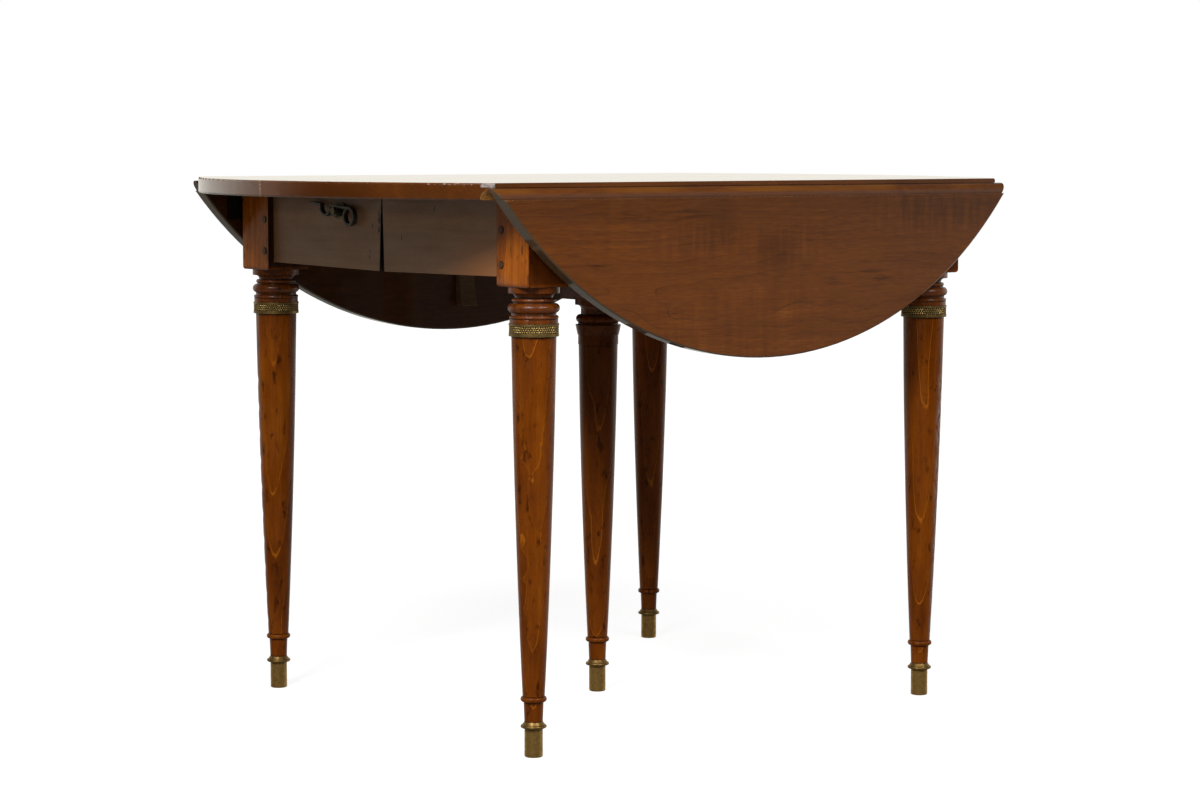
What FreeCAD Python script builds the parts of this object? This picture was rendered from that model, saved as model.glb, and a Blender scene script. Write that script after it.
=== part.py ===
import FreeCAD, Part
import math
import os
import Sketcher

# Drop-leaf extending table on five turned legs, in millimetres, +Z up.
# The origin is on the floor under the centre leg. X runs along the leaf hinges and
# Y across the table, the way the two halves pull apart. The back half is drawn at +Y
# and the front half is the same pieces turned half way round the Z axis.

doc = FreeCAD.newDocument("DropLeafTable")
sheet = doc.addObject("Spreadsheet::Sheet", "Sizes")
VECTOR = FreeCAD.Vector
UP = VECTOR(0, 0, 1)
HALF_TURN = FreeCAD.Placement(VECTOR(0, 0, 0), FreeCAD.Rotation(UP, 180))

SIZES = [
    # Top and leaves
    ("top_height", 731),
    ("top_radius", 558),
    ("top_thick", 21),
    ("leaf_depth", 212),
    ("split_gap", 0.6),
    ("quirk", 6),
    ("ovolo", 14),
    ("joint_gap", 0.4),
    ("top_round", 2.5),
    ("leaf_bevel", 1.8),
    # Frame
    ("leg_end", 93.78),
    ("leg_inset", 44),
    ("post_side", 67),
    ("post_height", 110),
    ("post_turn", 4),
    ("apron_height", 98.5),
    ("apron_sag", 3),
    ("apron_thick", 24),
    ("split_taper", 4.5),
    ("tenon_offset", 12.5),
    ("tenon_thick", 9),
    ("tenon_length", 28),
    ("tenon_shoulder", 10),
    ("mortise_spare", 1),
    ("peg_diameter", 9),
    ("peg_length", 38),
    ("peg_proud", 1.2),
    ("peg_edge", 9.5),
    ("peg_spacing", 44),
    ("peg_drop", 39),
    ("fit_gap", 0.05),
    # Turning of the corner legs, from the post down
    ("disc_diameter", 65.6),
    ("disc_height", 8),
    ("cove_height", 6.3),
    ("neck_diameter", 47.4),
    ("collar_bead_diameter", 56),
    ("collar_bead_height", 5.2),
    ("bead_fillet", 1.2),
    ("torus_diameter", 65.8),
    ("torus_height", 12.4),
    ("quirk_diameter", 57),
    ("quirk_height", 3.2),
    ("ring_diameter", 62.8),
    ("ring_height", 4.2),
    ("fascia_diameter", 61.6),
    ("fascia_height", 5.8),
    ("band_diameter", 63.8),
    ("band_height", 16),
    ("band_thick", 2.4),
    ("band_top_rim", 3),
    ("band_low_rim", 3.8),
    ("band_recess", 0.9),
    ("seat_gap", 0.1),
    ("shaft_top_diameter", 57.2),
    ("shaft_bottom_diameter", 28.4),
    ("shaft_swell", 1.9),
    # Ankles and sabots, from the floor up
    ("cap_diameter", 23.5),
    ("cap_height", 36.5),
    ("cap_round", 1.6),
    ("sole_thick", 3),
    ("foot_pin_diameter", 19.8),
    ("collar_diameter", 33.6),
    ("collar_height", 9.2),
    ("collar_lift", 1),
    ("collar_nose", 3.8),
    ("ankle_height", 25.4),
    ("ankle_top_diameter", 25.6),
    ("ankle_bottom_diameter", 23.7),
    ("ankle_bead_diameter", 33.8),
    ("ankle_bead_height", 7.2),
    # Centre leg and its cross beam
    ("block_side", 77),
    ("block_height", 51.5),
    ("beam_width", 72),
    ("beam_thick", 27),
    ("centre_tenon", 40),
    ("centre_neck_diameter", 49),
    ("centre_neck_height", 7.4),
    ("centre_torus_diameter", 63),
    ("centre_torus_height", 12),
    ("centre_quirk_height", 2.5),
    ("flare_top_diameter", 64.5),
    ("flare_bottom_diameter", 58.6),
    ("flare_height", 14),
    ("seat_diameter", 57),
    ("seat_height", 13.5),
    ("centre_shaft_diameter", 55.4),
    # Dovetailed slides
    ("slide_inset", 94),
    ("runner_width", 28),
    ("runner_height", 56),
    ("runner_lift", 1),
    ("runner_drop", 0.5),
    ("runner_spare", 9),
    ("slide_gap", 0.3),
    ("tongue_depth", 8),
    ("tongue_root", 12),
    ("tongue_tip", 18),
    ("extension", 300),
    ("stop_length", 12),
    ("stop_height", 12),
    ("stop_reach", 20),
    ("stop_gap", 0.3),
    ("cleat_gap", 28),
    ("cleat_inset", 4),
    # Rule joint hinges
    ("hinge_end", 55.78),
    ("hinge_width", 30),
    ("plate_thick", 2),
    ("plate_gap", 0.3),
    ("sweep_gap", 0.6),
    ("top_plate_length", 46),
    ("leaf_plate_length", 41),
    ("knuckle_diameter", 8),
    ("hinge_pin_diameter", 4),
    ("screw_head_diameter", 6.6),
    ("screw_head_height", 1.1),
    ("screw_diameter", 3.4),
    ("screw_length", 13),
    ("screw_gap", 0.1),
    ("screw_pitch", 18),
    ("screw_edge", 8),
    ("leaf_screw_rise", 12),
    # Lopers, their guides and wedges
    ("loper_x", 15),
    ("loper_width", 28),
    ("loper_height", 28),
    ("loper_drop", 14),
    ("loper_end", 30.5),
    ("loper_recess", 6),
    ("loper_gap", 0.3),
    ("finger_length", 30),
    ("finger_depth", 10),
    ("guide_wall", 10),
    ("guide_end", 38.5),
    ("guide_inset", 64),
    ("loper_peg_diameter", 8),
    ("loper_peg_height", 9),
    ("loper_peg_depth", 10),
    ("loper_peg_end", 78),
    ("wedge_start", 98),
    ("wedge_end", 177),
    ("wedge_thin", 1.5),
    ("wedge_thick", 17),
    # Finger lever, rose and pivot screw
    ("lever_y", 98.5),
    ("lever_drop", 23),
    ("lever_width", 7),
    ("lever_thick", 3.5),
    ("lever_gap", 0.4),
    ("rose_diameter", 21),
    ("rose_reach", 5),
    ("rose_thick", 3),
    ("hub_diameter", 16),
    ("finger_ring_diameter", 26),
    ("finger_ring_away", 33),
    ("finger_ring_drop", 7),
    ("bend_away", 24),
    ("bend_rise", 6),
    ("bend_diameter", 28),
    ("tab_reach", 62),
    ("tab_rise", 9),
    ("pivot_diameter", 5),
    ("pivot_head_diameter", 10),
    ("pivot_head_height", 3),
    ("pivot_depth", 16),
]


class Size:
    """A length that keeps the spreadsheet expression it was worked out from."""

    def __init__(self, value, text=None):
        self.value = float(value)
        self.text = text if text is not None else repr(self.value)

    def __add__(self, other):
        other = as_size(other)
        return Size(self.value + other.value, f"({self.text} + {other.text})")

    def __radd__(self, other):
        return as_size(other) + self

    def __sub__(self, other):
        other = as_size(other)
        return Size(self.value - other.value, f"({self.text} - {other.text})")

    def __rsub__(self, other):
        return as_size(other) - self

    def __mul__(self, other):
        other = as_size(other)
        return Size(self.value * other.value, f"({self.text} * {other.text})")

    def __rmul__(self, other):
        return as_size(other) * self

    def __truediv__(self, other):
        other = as_size(other)
        return Size(self.value / other.value, f"({self.text} / {other.text})")

    def __neg__(self):
        return Size(-self.value, f"(0 - {self.text})")


def as_size(number):
    return number if isinstance(number, Size) else Size(number)


def half_chord(radius, distance):
    """Half the width of a circle at a distance from its centre."""
    value = math.sqrt(radius.value ** 2 - distance.value ** 2)
    return Size(value, f"sqrt(({radius.text})^2 - ({distance.text})^2)")


class Sheet:
    """The driving dimensions, by name."""


D = Sheet()
for row, (name, number) in enumerate(SIZES, start=1):
    sheet.set(f"A{row}", name)
    sheet.set(f"B{row}", str(number))
    sheet.setAlias(f"B{row}", name)
    setattr(D, name, Size(number, f"Sizes.{name}"))
doc.recompute()

ZERO = Size(0)
nodes = []


def name_node(item, label):
    """Hand a finished piece in under its own name."""
    item.Label = label
    nodes.append(item)


def bind(item, path, size):
    item.setExpression(path, as_size(size).text)


def new_body(label):
    """An empty body for one piece."""
    return doc.addObject("PartDesign::Body", label)


def group(label, pieces):
    """Separate solids of one kind that share a node."""
    item = doc.addObject("Part::Compound", label)
    item.Links = pieces
    return item


# Sketching

def hold_coordinate(sketch, kind, geometry, point, size):
    """Fix one coordinate of a sketch point from the sketch's origin."""
    size = as_size(size)
    index = sketch.addConstraint(Sketcher.Constraint(kind, -1, 1, geometry, point, size.value))
    sketch.setExpression(f"Constraints[{index}]", size.text)


def hold_point(sketch, geometry, point, x, y):
    hold_coordinate(sketch, "DistanceX", geometry, point, x)
    hold_coordinate(sketch, "DistanceY", geometry, point, y)


def arc_geometry(start, end, centre, clockwise):
    radius = math.hypot(start[0] - centre[0], start[1] - centre[1])
    first = math.atan2(start[1] - centre[1], start[0] - centre[0])
    last = math.atan2(end[1] - centre[1], end[0] - centre[0])
    if clockwise:
        first, last = last, first
    if last <= first:
        last += 2 * math.pi
    circle = Part.Circle(VECTOR(centre[0], centre[1], 0), UP, radius)
    return Part.ArcOfCircle(circle, first, last)


def draw_outline(sketch, outline):
    """A closed outline. A point is (x, y), or (x, y, centre x, centre y, turn) after an arc."""
    points = [tuple(as_size(v) for v in point[:2]) for point in outline]
    numbers = [(x.value, y.value) for x, y in points]
    ends = []
    for index, point in enumerate(outline):
        start = numbers[index - 1]
        end = numbers[index]
        if len(point) == 2:
            line = Part.LineSegment(VECTOR(start[0], start[1], 0), VECTOR(end[0], end[1], 0))
            ends.append((sketch.addGeometry(line, False), 1, 2))
            continue
        centre_x = as_size(point[2])
        centre_y = as_size(point[3])
        clockwise = point[4] == "clockwise"
        arc = arc_geometry(start, end, (centre_x.value, centre_y.value), clockwise)
        geometry = sketch.addGeometry(arc, False)
        ends.append((geometry, 2, 1) if clockwise else (geometry, 1, 2))
        upright = abs(end[1] - start[1]) > abs(end[0] - start[0])
        if upright:
            hold_coordinate(sketch, "DistanceX", geometry, 3, centre_x)
        else:
            hold_coordinate(sketch, "DistanceY", geometry, 3, centre_y)
    for index, (geometry, start, end) in enumerate(ends):
        following, following_start, _ = ends[(index + 1) % len(ends)]
        join = Sketcher.Constraint("Coincident", geometry, end, following, following_start)
        sketch.addConstraint(join)
        hold_point(sketch, geometry, end, *points[index])


def draw_circle(sketch, x, y, radius):
    x, y, radius = as_size(x), as_size(y), as_size(radius)
    circle = Part.Circle(VECTOR(x.value, y.value, 0), UP, radius.value)
    geometry = sketch.addGeometry(circle, False)
    hold_point(sketch, geometry, 3, x, y)
    index = sketch.addConstraint(Sketcher.Constraint("Radius", geometry, radius.value))
    sketch.setExpression(f"Constraints[{index}]", radius.text)


def rectangle(x0, x1, y0, y1):
    return [(x0, y0), (x1, y0), (x1, y1), (x0, y1)]


def new_sketch(body, plane, shapes):
    """A sketch on one of the body's own planes. A shape is an outline or a (x, y, radius) circle."""
    support = [f for f in body.Origin.OriginFeatures if f.Role == f"{plane}_Plane"][0]
    sketch = body.newObject("Sketcher::SketchObject", "Sketch")
    sketch.AttachmentSupport = [(support, "")]
    sketch.MapMode = "FlatFace"
    for shape in shapes:
        if isinstance(shape, tuple):
            draw_circle(sketch, *shape)
        else:
            draw_outline(sketch, shape)
    return sketch


def raise_sketch(sketch, plane, level):
    """Move a sketch along its plane's axis. The XZ plane faces -Y."""
    bind(sketch, "AttachmentOffset.Base.z", -as_size(level) if plane == "XZ" else level)


def pad(body, plane, shapes, low, high):
    """Add what the shapes sweep between two levels on the plane's axis."""
    sketch = new_sketch(body, plane, shapes)
    raise_sketch(sketch, plane, high if plane == "XZ" else low)
    feature = body.newObject("PartDesign::Pad", "Pad")
    feature.Profile = sketch
    bind(feature, "Length", as_size(high) - low)


def pocket(body, plane, shapes, low, high):
    """Take away what the shapes sweep between two levels on the plane's axis."""
    sketch = new_sketch(body, plane, shapes)
    raise_sketch(sketch, plane, low if plane == "XZ" else high)
    feature = body.newObject("PartDesign::Pocket", "Pocket")
    feature.Profile = sketch
    bind(feature, "Length", as_size(high) - low)


def revolve(body, outline):
    """Turn an outline of (radius, height) points round the Z axis."""
    sketch = new_sketch(body, "XZ", [outline])
    feature = body.newObject("PartDesign::Revolution", "Turning")
    feature.Profile = sketch
    feature.ReferenceAxis = (sketch, ["V_Axis"])
    feature.Angle = 360


def turn_away(body, outline):
    """Cut away what an outline of (radius, height) points sweeps round the Z axis."""
    sketch = new_sketch(body, "XZ", [outline])
    feature = body.newObject("PartDesign::Groove", "Groove")
    feature.Profile = sketch
    feature.ReferenceAxis = (sketch, ["V_Axis"])
    feature.Angle = 360


def ease_edges(body, kind, size, chosen):
    """Fillet or chamfer the edges of the body that the test picks."""
    doc.recompute()
    base = body.Tip
    picked = [f"Edge{i}" for i, edge in enumerate(base.Shape.Edges, start=1) if chosen(edge)]
    feature = body.newObject(f"PartDesign::{kind}", kind)
    feature.Base = (base, picked)
    bind(feature, "Radius" if kind == "Fillet" else "Size", size)


def cylinder(label, radius, length, base, axis):
    """A round pin from a base point along an axis."""
    item = doc.addObject("Part::Cylinder", label)
    item.Placement = FreeCAD.Placement(VECTOR(0, 0, 0), FreeCAD.Rotation(UP, VECTOR(*axis)))
    bind(item, "Radius", radius)
    bind(item, "Height", length)
    for letter, value in zip("xyz", base):
        bind(item, f"Placement.Base.{letter}", value)
    return item


def block(label, x0, x1, y0, y1, z0, z1):
    """A plain squared block of wood."""
    item = doc.addObject("Part::Box", label)
    for side, low, high in (("Length", x0, x1), ("Width", y0, y1), ("Height", z0, z1)):
        bind(item, side, as_size(high) - low)
    for letter, low in zip("xyz", (x0, y0, z0)):
        bind(item, f"Placement.Base.{letter}", low)
    return item


# Levels and lines that several pieces share

joint_line = D.top_radius - D.leaf_depth
joint_end = half_chord(D.top_radius, joint_line)
hinge_x = joint_end - D.hinge_end
leg_x = joint_end - D.leg_end
leg_y = joint_line - D.leg_inset
slide_x = leg_x - D.slide_inset
z_under = D.top_height - D.top_thick
z_pin = D.top_height - D.quirk - D.ovolo
z_apron = z_under - D.apron_height
z_tenon_low = z_apron + D.tenon_shoulder
z_tenon_high = z_under - D.tenon_shoulder
z_post = z_under - D.post_height
z_beam = z_apron + D.beam_thick
z_pegs = [z_under - D.peg_drop, z_under - D.peg_drop - D.peg_spacing]
post_half = D.post_side / 2
apron_x = leg_x + D.tenon_offset
rail_y = leg_y + D.tenon_offset
rail_in = rail_y - D.apron_thick / 2
rail_out = rail_y + D.apron_thick / 2
apron_out = apron_x + D.apron_thick / 2
shoulder_x = leg_x - post_half
shoulder_y = leg_y - post_half
leaf_out = joint_line + D.quirk + D.ovolo
leaf_in = leaf_out - D.top_thick
peg_hole = D.peg_diameter / 2 + D.fit_gap


# Top and leaves

def hinge_spans():
    """The X range of each of a leaf's two hinges."""
    half = D.hinge_width / 2
    return [(side * hinge_x - half, side * hinge_x + half) for side in (-1, 1)]


def screw_places(edge, step):
    """Plan places of a hinge plate's screws: two rows of two, with one between them."""
    places = []
    for side in (-1, 1):
        middle = side * hinge_x
        for across in (-0.5, 0.5):
            for row in (0, 1):
                places.append((middle + D.screw_pitch * across, edge + step * row))
        places.append((middle, edge + step / 2))
    return places


def top_screw_places():
    return screw_places(joint_line - D.top_plate_length + D.screw_edge, D.screw_pitch)


def leaf_screw_places():
    return screw_places(z_pin - D.leaf_plate_length + D.screw_edge, D.leaf_screw_rise)


def is_rim(edge):
    """Whether an edge runs round the circle of the whole top."""
    return isinstance(edge.Curve, Part.Circle) and edge.Curve.Radius > joint_line.value


def make_top(label):
    """Half of the fixed top, with a thin lip over the hollow of its rule joint."""
    body = new_body(label)
    split_x = half_chord(D.top_radius, D.split_gap)
    outline = [
        (-split_x, D.split_gap, ZERO, ZERO, "anticlockwise"),
        (split_x, D.split_gap),
        (joint_end, joint_line, ZERO, ZERO, "anticlockwise"),
        (-joint_end, joint_line),
    ]
    pad(body, "XY", [outline], z_under, D.top_height)
    ease_edges(body, "Fillet", D.top_round, is_rim)
    beyond = D.top_radius + D.top_thick
    below = z_under - D.top_thick
    hollow = D.ovolo + D.joint_gap
    cove = [
        (joint_line - hollow, below),
        (joint_line - hollow, z_pin),
        (joint_line, z_pin + hollow, joint_line, z_pin, "clockwise"),
        (joint_line + hollow, z_pin + hollow),
        (joint_line + hollow, below),
    ]
    pocket(body, "YZ", [cove], -beyond, beyond)
    plate_inner = joint_line - D.top_plate_length - D.plate_gap
    seats = [
        rectangle(low - D.plate_gap, high + D.plate_gap, plate_inner, joint_line)
        for low, high in hinge_spans()
    ]
    pocket(body, "XY", seats, below, z_under + D.plate_thick)
    radius = D.screw_diameter / 2 + D.screw_gap
    holes = [(x, y, radius) for x, y in top_screw_places()]
    pocket(body, "XY", holes, z_under, z_under + D.screw_length)
    return body


def make_leaf(label):
    """A hanging drop leaf: a segment of the round top with the rounded edge of the rule joint."""
    body = new_body(label)
    crown = z_pin + D.ovolo
    crown_x = half_chord(D.top_radius, joint_line - D.ovolo)
    centre_z = z_pin + joint_line
    outline = [
        (-crown_x, crown, ZERO, centre_z, "clockwise"),
        (crown_x, crown),
    ]
    pad(body, "XZ", [outline], leaf_in, leaf_out)
    ease_edges(body, "Chamfer", D.leaf_bevel, is_rim)
    beyond = D.top_radius + D.top_thick
    above = D.top_height + D.top_thick
    edge = joint_line + D.ovolo
    ledge = z_pin - D.joint_gap
    step = [
        (joint_line, above),
        (joint_line, crown),
        (edge, z_pin, joint_line, z_pin, "clockwise"),
        (edge, ledge),
        (edge + D.ovolo, ledge),
        (edge + D.ovolo, above),
    ]
    pocket(body, "YZ", [step], -beyond, beyond)
    behind = leaf_in - D.top_thick
    pocket(body, "XZ", [rectangle(-beyond, beyond, z_pin, above)], behind, joint_line)
    knuckle = D.knuckle_diameter / 2 + D.sweep_gap
    plate_end = z_pin - D.leaf_plate_length - D.plate_gap
    for low, high in hinge_spans():
        left = low - D.plate_gap
        right = high + D.plate_gap
        seat = rectangle(left, right, plate_end, z_pin)
        sweep = rectangle(left, right, z_pin, above)
        pocket(body, "XZ", [seat], behind, leaf_in + D.plate_thick)
        pocket(body, "XZ", [sweep], behind, leaf_in + D.plate_thick + D.sweep_gap)
        pocket(body, "YZ", [(joint_line, z_pin, knuckle)], left, right)
    radius = D.screw_diameter / 2 + D.screw_gap
    holes = [(x, z, radius) for x, z in leaf_screw_places()]
    pocket(body, "XZ", holes, leaf_in, leaf_in + D.screw_length)
    return body


def make_wedge(label):
    """The tapered block inside a leaf that its loper climbs to lift the leaf level."""
    body = new_body(label)
    outline = [
        (leaf_in, z_pin - D.wedge_start),
        (leaf_in - D.wedge_thin, z_pin - D.wedge_start),
        (leaf_in - D.wedge_thick, z_pin - D.wedge_end),
        (leaf_in, z_pin - D.wedge_end),
    ]
    half = D.loper_width / 2
    pad(body, "YZ", [outline], D.loper_x - half, D.loper_x + half)
    return body


# Frame

def make_rail(label):
    """The long rail behind a leaf, tenoned at both ends, with the loper's mortise."""
    body = new_body(label)
    reach = shoulder_x + D.tenon_length
    cheek = D.tenon_thick / 2
    board = rectangle(-shoulder_x, shoulder_x, z_apron, z_under)
    tenons = rectangle(-reach, reach, z_tenon_low, z_tenon_high)
    pad(body, "XZ", [board], rail_in, rail_out)
    pad(body, "XZ", [tenons], rail_y - cheek, rail_y + cheek)
    peg_x = shoulder_x + D.peg_edge
    holes = [(side * peg_x, z, peg_hole) for side in (-1, 1) for z in z_pegs]
    pocket(body, "XZ", holes, rail_in, rail_out)
    half = D.loper_width / 2 + D.loper_gap
    loper_top = z_under - D.loper_drop + D.loper_gap
    loper_bottom = z_under - D.loper_drop - D.loper_height - D.loper_gap
    mortise = rectangle(D.loper_x - half, D.loper_x + half, loper_bottom, loper_top)
    pocket(body, "XZ", [mortise], rail_in - D.mortise_spare, rail_out + D.mortise_spare)
    return body


def make_apron(label, side):
    """Half of an end apron. It sags towards the split, whose gap widens downwards."""
    body = new_body(label)
    cheek = D.tenon_thick / 2
    half = D.apron_thick / 2
    board = [
        (D.split_gap, z_under),
        (D.split_gap + D.split_taper, z_apron - D.apron_sag),
        (shoulder_y, z_apron),
        (shoulder_y, z_under),
    ]
    tenon_in = shoulder_y - D.tenon_length
    tenon_out = shoulder_y + D.tenon_length
    tenon = rectangle(tenon_in, tenon_out, z_tenon_low, z_tenon_high)
    middle = side * apron_x
    pad(body, "YZ", [board], middle - half, middle + half)
    pad(body, "YZ", [tenon], middle - cheek, middle + cheek)
    holes = [(shoulder_y + D.peg_edge, z, peg_hole) for z in z_pegs]
    pocket(body, "YZ", holes, middle - half, middle + half)
    if side < 0:
        pivot = (D.lever_y, z_under - D.lever_drop, D.pivot_diameter / 2 + D.fit_gap)
        pocket(body, "YZ", [pivot], -apron_out, -apron_out + D.pivot_depth)
    return body


def make_pegs(label):
    """The pegs that pin a half's eight tenons, a little proud of the posts."""
    radius = D.peg_diameter / 2
    length = D.peg_length + D.peg_proud
    pegs = []
    for side in (-1, 1):
        face_x = leg_x + post_half + D.peg_proud
        for z in z_pegs:
            base = (side * face_x, shoulder_y + D.peg_edge, z)
            pegs.append(cylinder("Peg", radius, length, base, (-side, 0, 0)))
            base = (side * (shoulder_x + D.peg_edge), leg_y + post_half + D.peg_proud, z)
            pegs.append(cylinder("Peg", radius, length, base, (0, -1, 0)))
    return group(label, pegs)


# Turned legs

def half_round(radius, top, bottom):
    """Outline points of a bead between two levels, ending at its bottom."""
    rise = (top - bottom) / 2
    centre = radius - rise
    return [(centre, top), (centre, bottom, centre, bottom + rise, "clockwise")]


def shoulder_points(half_side, level):
    """Outline of what the lathe takes off the lower corners of a square post."""
    corner = half_side * math.sqrt(2)
    inner = corner - D.post_turn
    outer = corner + D.post_turn
    high = level + D.post_turn
    return [
        (inner, level, inner, high, "clockwise"),
        (inner, level - D.post_turn),
        (outer, level - D.post_turn),
        (outer, high),
        (corner, high),
    ]


def shaft_points(shaft_top, z_shaft):
    """Outline of a swelling, tapered shaft, its ankle and bead, and the pin that goes into the sabot."""
    z_collar = D.cap_height + D.collar_height
    z_bead = z_collar + D.ankle_height
    z_bead_top = z_bead + D.ankle_bead_height
    pin = D.foot_pin_diameter / 2
    shaft_bottom = D.shaft_bottom_diameter / 2
    rise = z_shaft - z_bead_top
    bow = rise / D.shaft_swell / 8
    centre = (shaft_top + shaft_bottom) / 2 - rise * bow
    z_centre = (z_shaft + z_bead_top) / 2 + (shaft_top - shaft_bottom) * bow
    points = [
        (shaft_top, z_shaft),
        (shaft_bottom, z_bead_top, centre, z_centre, "clockwise"),
    ]
    points += half_round(D.ankle_bead_diameter / 2, z_bead_top, z_bead)
    points += [
        (D.ankle_top_diameter / 2, z_bead),
        (D.ankle_bottom_diameter / 2, z_collar),
        (pin, z_collar),
        (pin, D.sole_thick),
        (ZERO, D.sole_thick),
    ]
    return points


def cove_points(z_disc, neck, height):
    """Outline of a disc's edge and the hollow under it."""
    disc = D.disc_diameter / 2
    z_cove = z_disc - D.disc_height
    lip = neck + height
    return [
        (ZERO, z_disc),
        (disc, z_disc),
        (disc, z_cove),
        (lip, z_cove),
        (neck, z_cove - height, lip, z_cove - height, "anticlockwise"),
    ]


def make_corner_leg(label, x, y, quarter):
    """A square post over a turned, tapered leg. Quarter turns suit it to each corner."""
    body = new_body(label)
    pad(body, "XY", [rectangle(-post_half, post_half, -post_half, post_half)], z_post, z_under)
    turn_away(body, shoulder_points(post_half, z_post))
    neck = D.neck_diameter / 2
    z_neck = z_post - D.disc_height - D.cove_height
    z_bead = z_neck - D.collar_bead_height
    z_torus = z_bead - D.bead_fillet
    z_quirk = z_torus - D.torus_height
    z_ring = z_quirk - D.quirk_height
    z_fascia = z_ring - D.ring_height
    z_band = z_fascia - D.fascia_height
    z_shaft = z_band - D.band_height
    seat = D.band_diameter / 2 - D.band_thick - D.seat_gap
    outline = cove_points(z_post, neck, D.cove_height)
    outline += half_round(D.collar_bead_diameter / 2, z_neck, z_bead)
    outline += [(D.torus_diameter / 2 - D.torus_height / 2, z_bead)]
    outline += half_round(D.torus_diameter / 2, z_torus, z_quirk)
    outline += [
        (D.quirk_diameter / 2, z_quirk),
        (D.quirk_diameter / 2, z_ring),
    ]
    outline += half_round(D.ring_diameter / 2, z_ring, z_fascia)
    outline += [
        (D.fascia_diameter / 2, z_fascia),
        (D.fascia_diameter / 2, z_band),
        (seat, z_band),
        (seat, z_shaft),
    ]
    outline += shaft_points(D.shaft_top_diameter / 2, z_shaft)
    revolve(body, outline)
    cheek = D.tenon_thick / 2
    low = D.tenon_offset - cheek
    high = D.tenon_offset + cheek
    depth = D.tenon_length + D.mortise_spare - post_half
    mortises = [rectangle(low, high, -post_half, depth), rectangle(-post_half, depth, low, high)]
    pocket(body, "XY", mortises, z_tenon_low, z_tenon_high)
    peg_place = D.peg_edge - post_half
    holes = [(peg_place, z, peg_hole) for z in z_pegs]
    pocket(body, "YZ", holes, post_half - D.peg_length, post_half)
    pocket(body, "XZ", holes, post_half - D.peg_length, post_half)
    body.Placement = FreeCAD.Placement(VECTOR(0, 0, 0), FreeCAD.Rotation(UP, 90 * quarter))
    bind(body, "Placement.Base.x", x)
    bind(body, "Placement.Base.y", y)
    return body


def make_band(label, x, y):
    """A brass band round a corner leg, under its rings: plain rims and a sunk field."""
    body = new_body(label)
    outer = D.band_diameter / 2
    inner = outer - D.band_thick
    field = outer - D.band_recess
    z_torus_top = z_post - D.disc_height - D.cove_height - D.collar_bead_height - D.bead_fillet
    z_fascia = z_torus_top - D.torus_height - D.quirk_height - D.ring_height
    z_high = z_fascia - D.fascia_height
    z_low = z_high - D.band_height
    outline = [
        (inner, z_low),
        (outer, z_low),
        (outer, z_low + D.band_low_rim),
        (field, z_low + D.band_low_rim),
        (field, z_high - D.band_top_rim),
        (outer, z_high - D.band_top_rim),
        (outer, z_high),
        (inner, z_high),
    ]
    revolve(body, outline)
    bind(body, "Placement.Base.x", x)
    bind(body, "Placement.Base.y", y)
    return body


def make_sabot(label, x, y):
    """A brass shoe: a cap over the foot, with a flared collar."""
    body = new_body(label)
    cap = D.cap_diameter / 2
    bore = D.foot_pin_diameter / 2 + D.seat_gap
    nose = D.collar_diameter / 2 - D.collar_nose / 2
    z_nose = D.cap_height + D.collar_lift
    z_collar = D.cap_height + D.collar_height
    outline = [
        (ZERO, ZERO),
        (cap - D.cap_round, ZERO),
        (cap, D.cap_round, cap - D.cap_round, D.cap_round, "anticlockwise"),
        (cap, D.cap_height),
        (nose, z_nose),
        (nose, z_nose + D.collar_nose, nose, z_nose + D.collar_nose / 2, "anticlockwise"),
        (D.ankle_bottom_diameter / 2, z_collar),
        (bore, z_collar),
        (bore, D.sole_thick),
        (ZERO, D.sole_thick),
    ]
    revolve(body, outline)
    bind(body, "Placement.Base.x", x)
    bind(body, "Placement.Base.y", y)
    return body


def make_centre_leg(label):
    """The lower, slimmer leg under the cross beam, with no band."""
    body = new_body(label)
    z_block = z_apron - D.block_height
    half = D.block_side / 2
    tenon = D.centre_tenon / 2
    pad(body, "XY", [rectangle(-half, half, -half, half)], z_block, z_apron)
    turn_away(body, shoulder_points(half, z_block))
    pad(body, "XY", [rectangle(-tenon, tenon, -tenon, tenon)], z_apron, z_beam)
    neck = D.centre_neck_diameter / 2
    z_neck = z_block - D.disc_height - D.cove_height
    z_torus = z_neck - D.centre_neck_height
    z_quirk = z_torus - D.centre_torus_height
    z_flare = z_quirk - D.centre_quirk_height
    z_seat = z_flare - D.flare_height
    z_shaft = z_seat - D.seat_height
    outline = cove_points(z_block, neck, D.cove_height)
    outline += [(neck, z_torus)]
    outline += half_round(D.centre_torus_diameter / 2, z_torus, z_quirk)
    outline += [
        (D.quirk_diameter / 2, z_quirk),
        (D.quirk_diameter / 2, z_flare),
        (D.flare_top_diameter / 2, z_flare),
        (D.flare_bottom_diameter / 2, z_seat),
        (D.seat_diameter / 2, z_seat),
        (D.seat_diameter / 2, z_shaft),
    ]
    outline += shaft_points(D.centre_shaft_diameter / 2, z_shaft)
    revolve(body, outline)
    return body


# Extension slides

z_runner = z_beam + D.runner_height
slide_half = D.runner_width / 2
runner_end = rail_in - D.runner_spare
stop_near = D.extension - runner_end + D.stop_length + D.stop_gap
stop_far = stop_near + D.stop_length


def make_cross_beam(label):
    """The beam that carries the middle runners, mortised on the centre leg."""
    body = new_body(label)
    reach = slide_x + slide_half
    half = D.beam_width / 2
    tenon = D.centre_tenon / 2
    pad(body, "XY", [rectangle(-reach, reach, -half, half)], z_apron, z_beam)
    pocket(body, "XY", [rectangle(-tenon, tenon, -tenon, tenon)], z_apron, z_beam)
    return body


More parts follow.
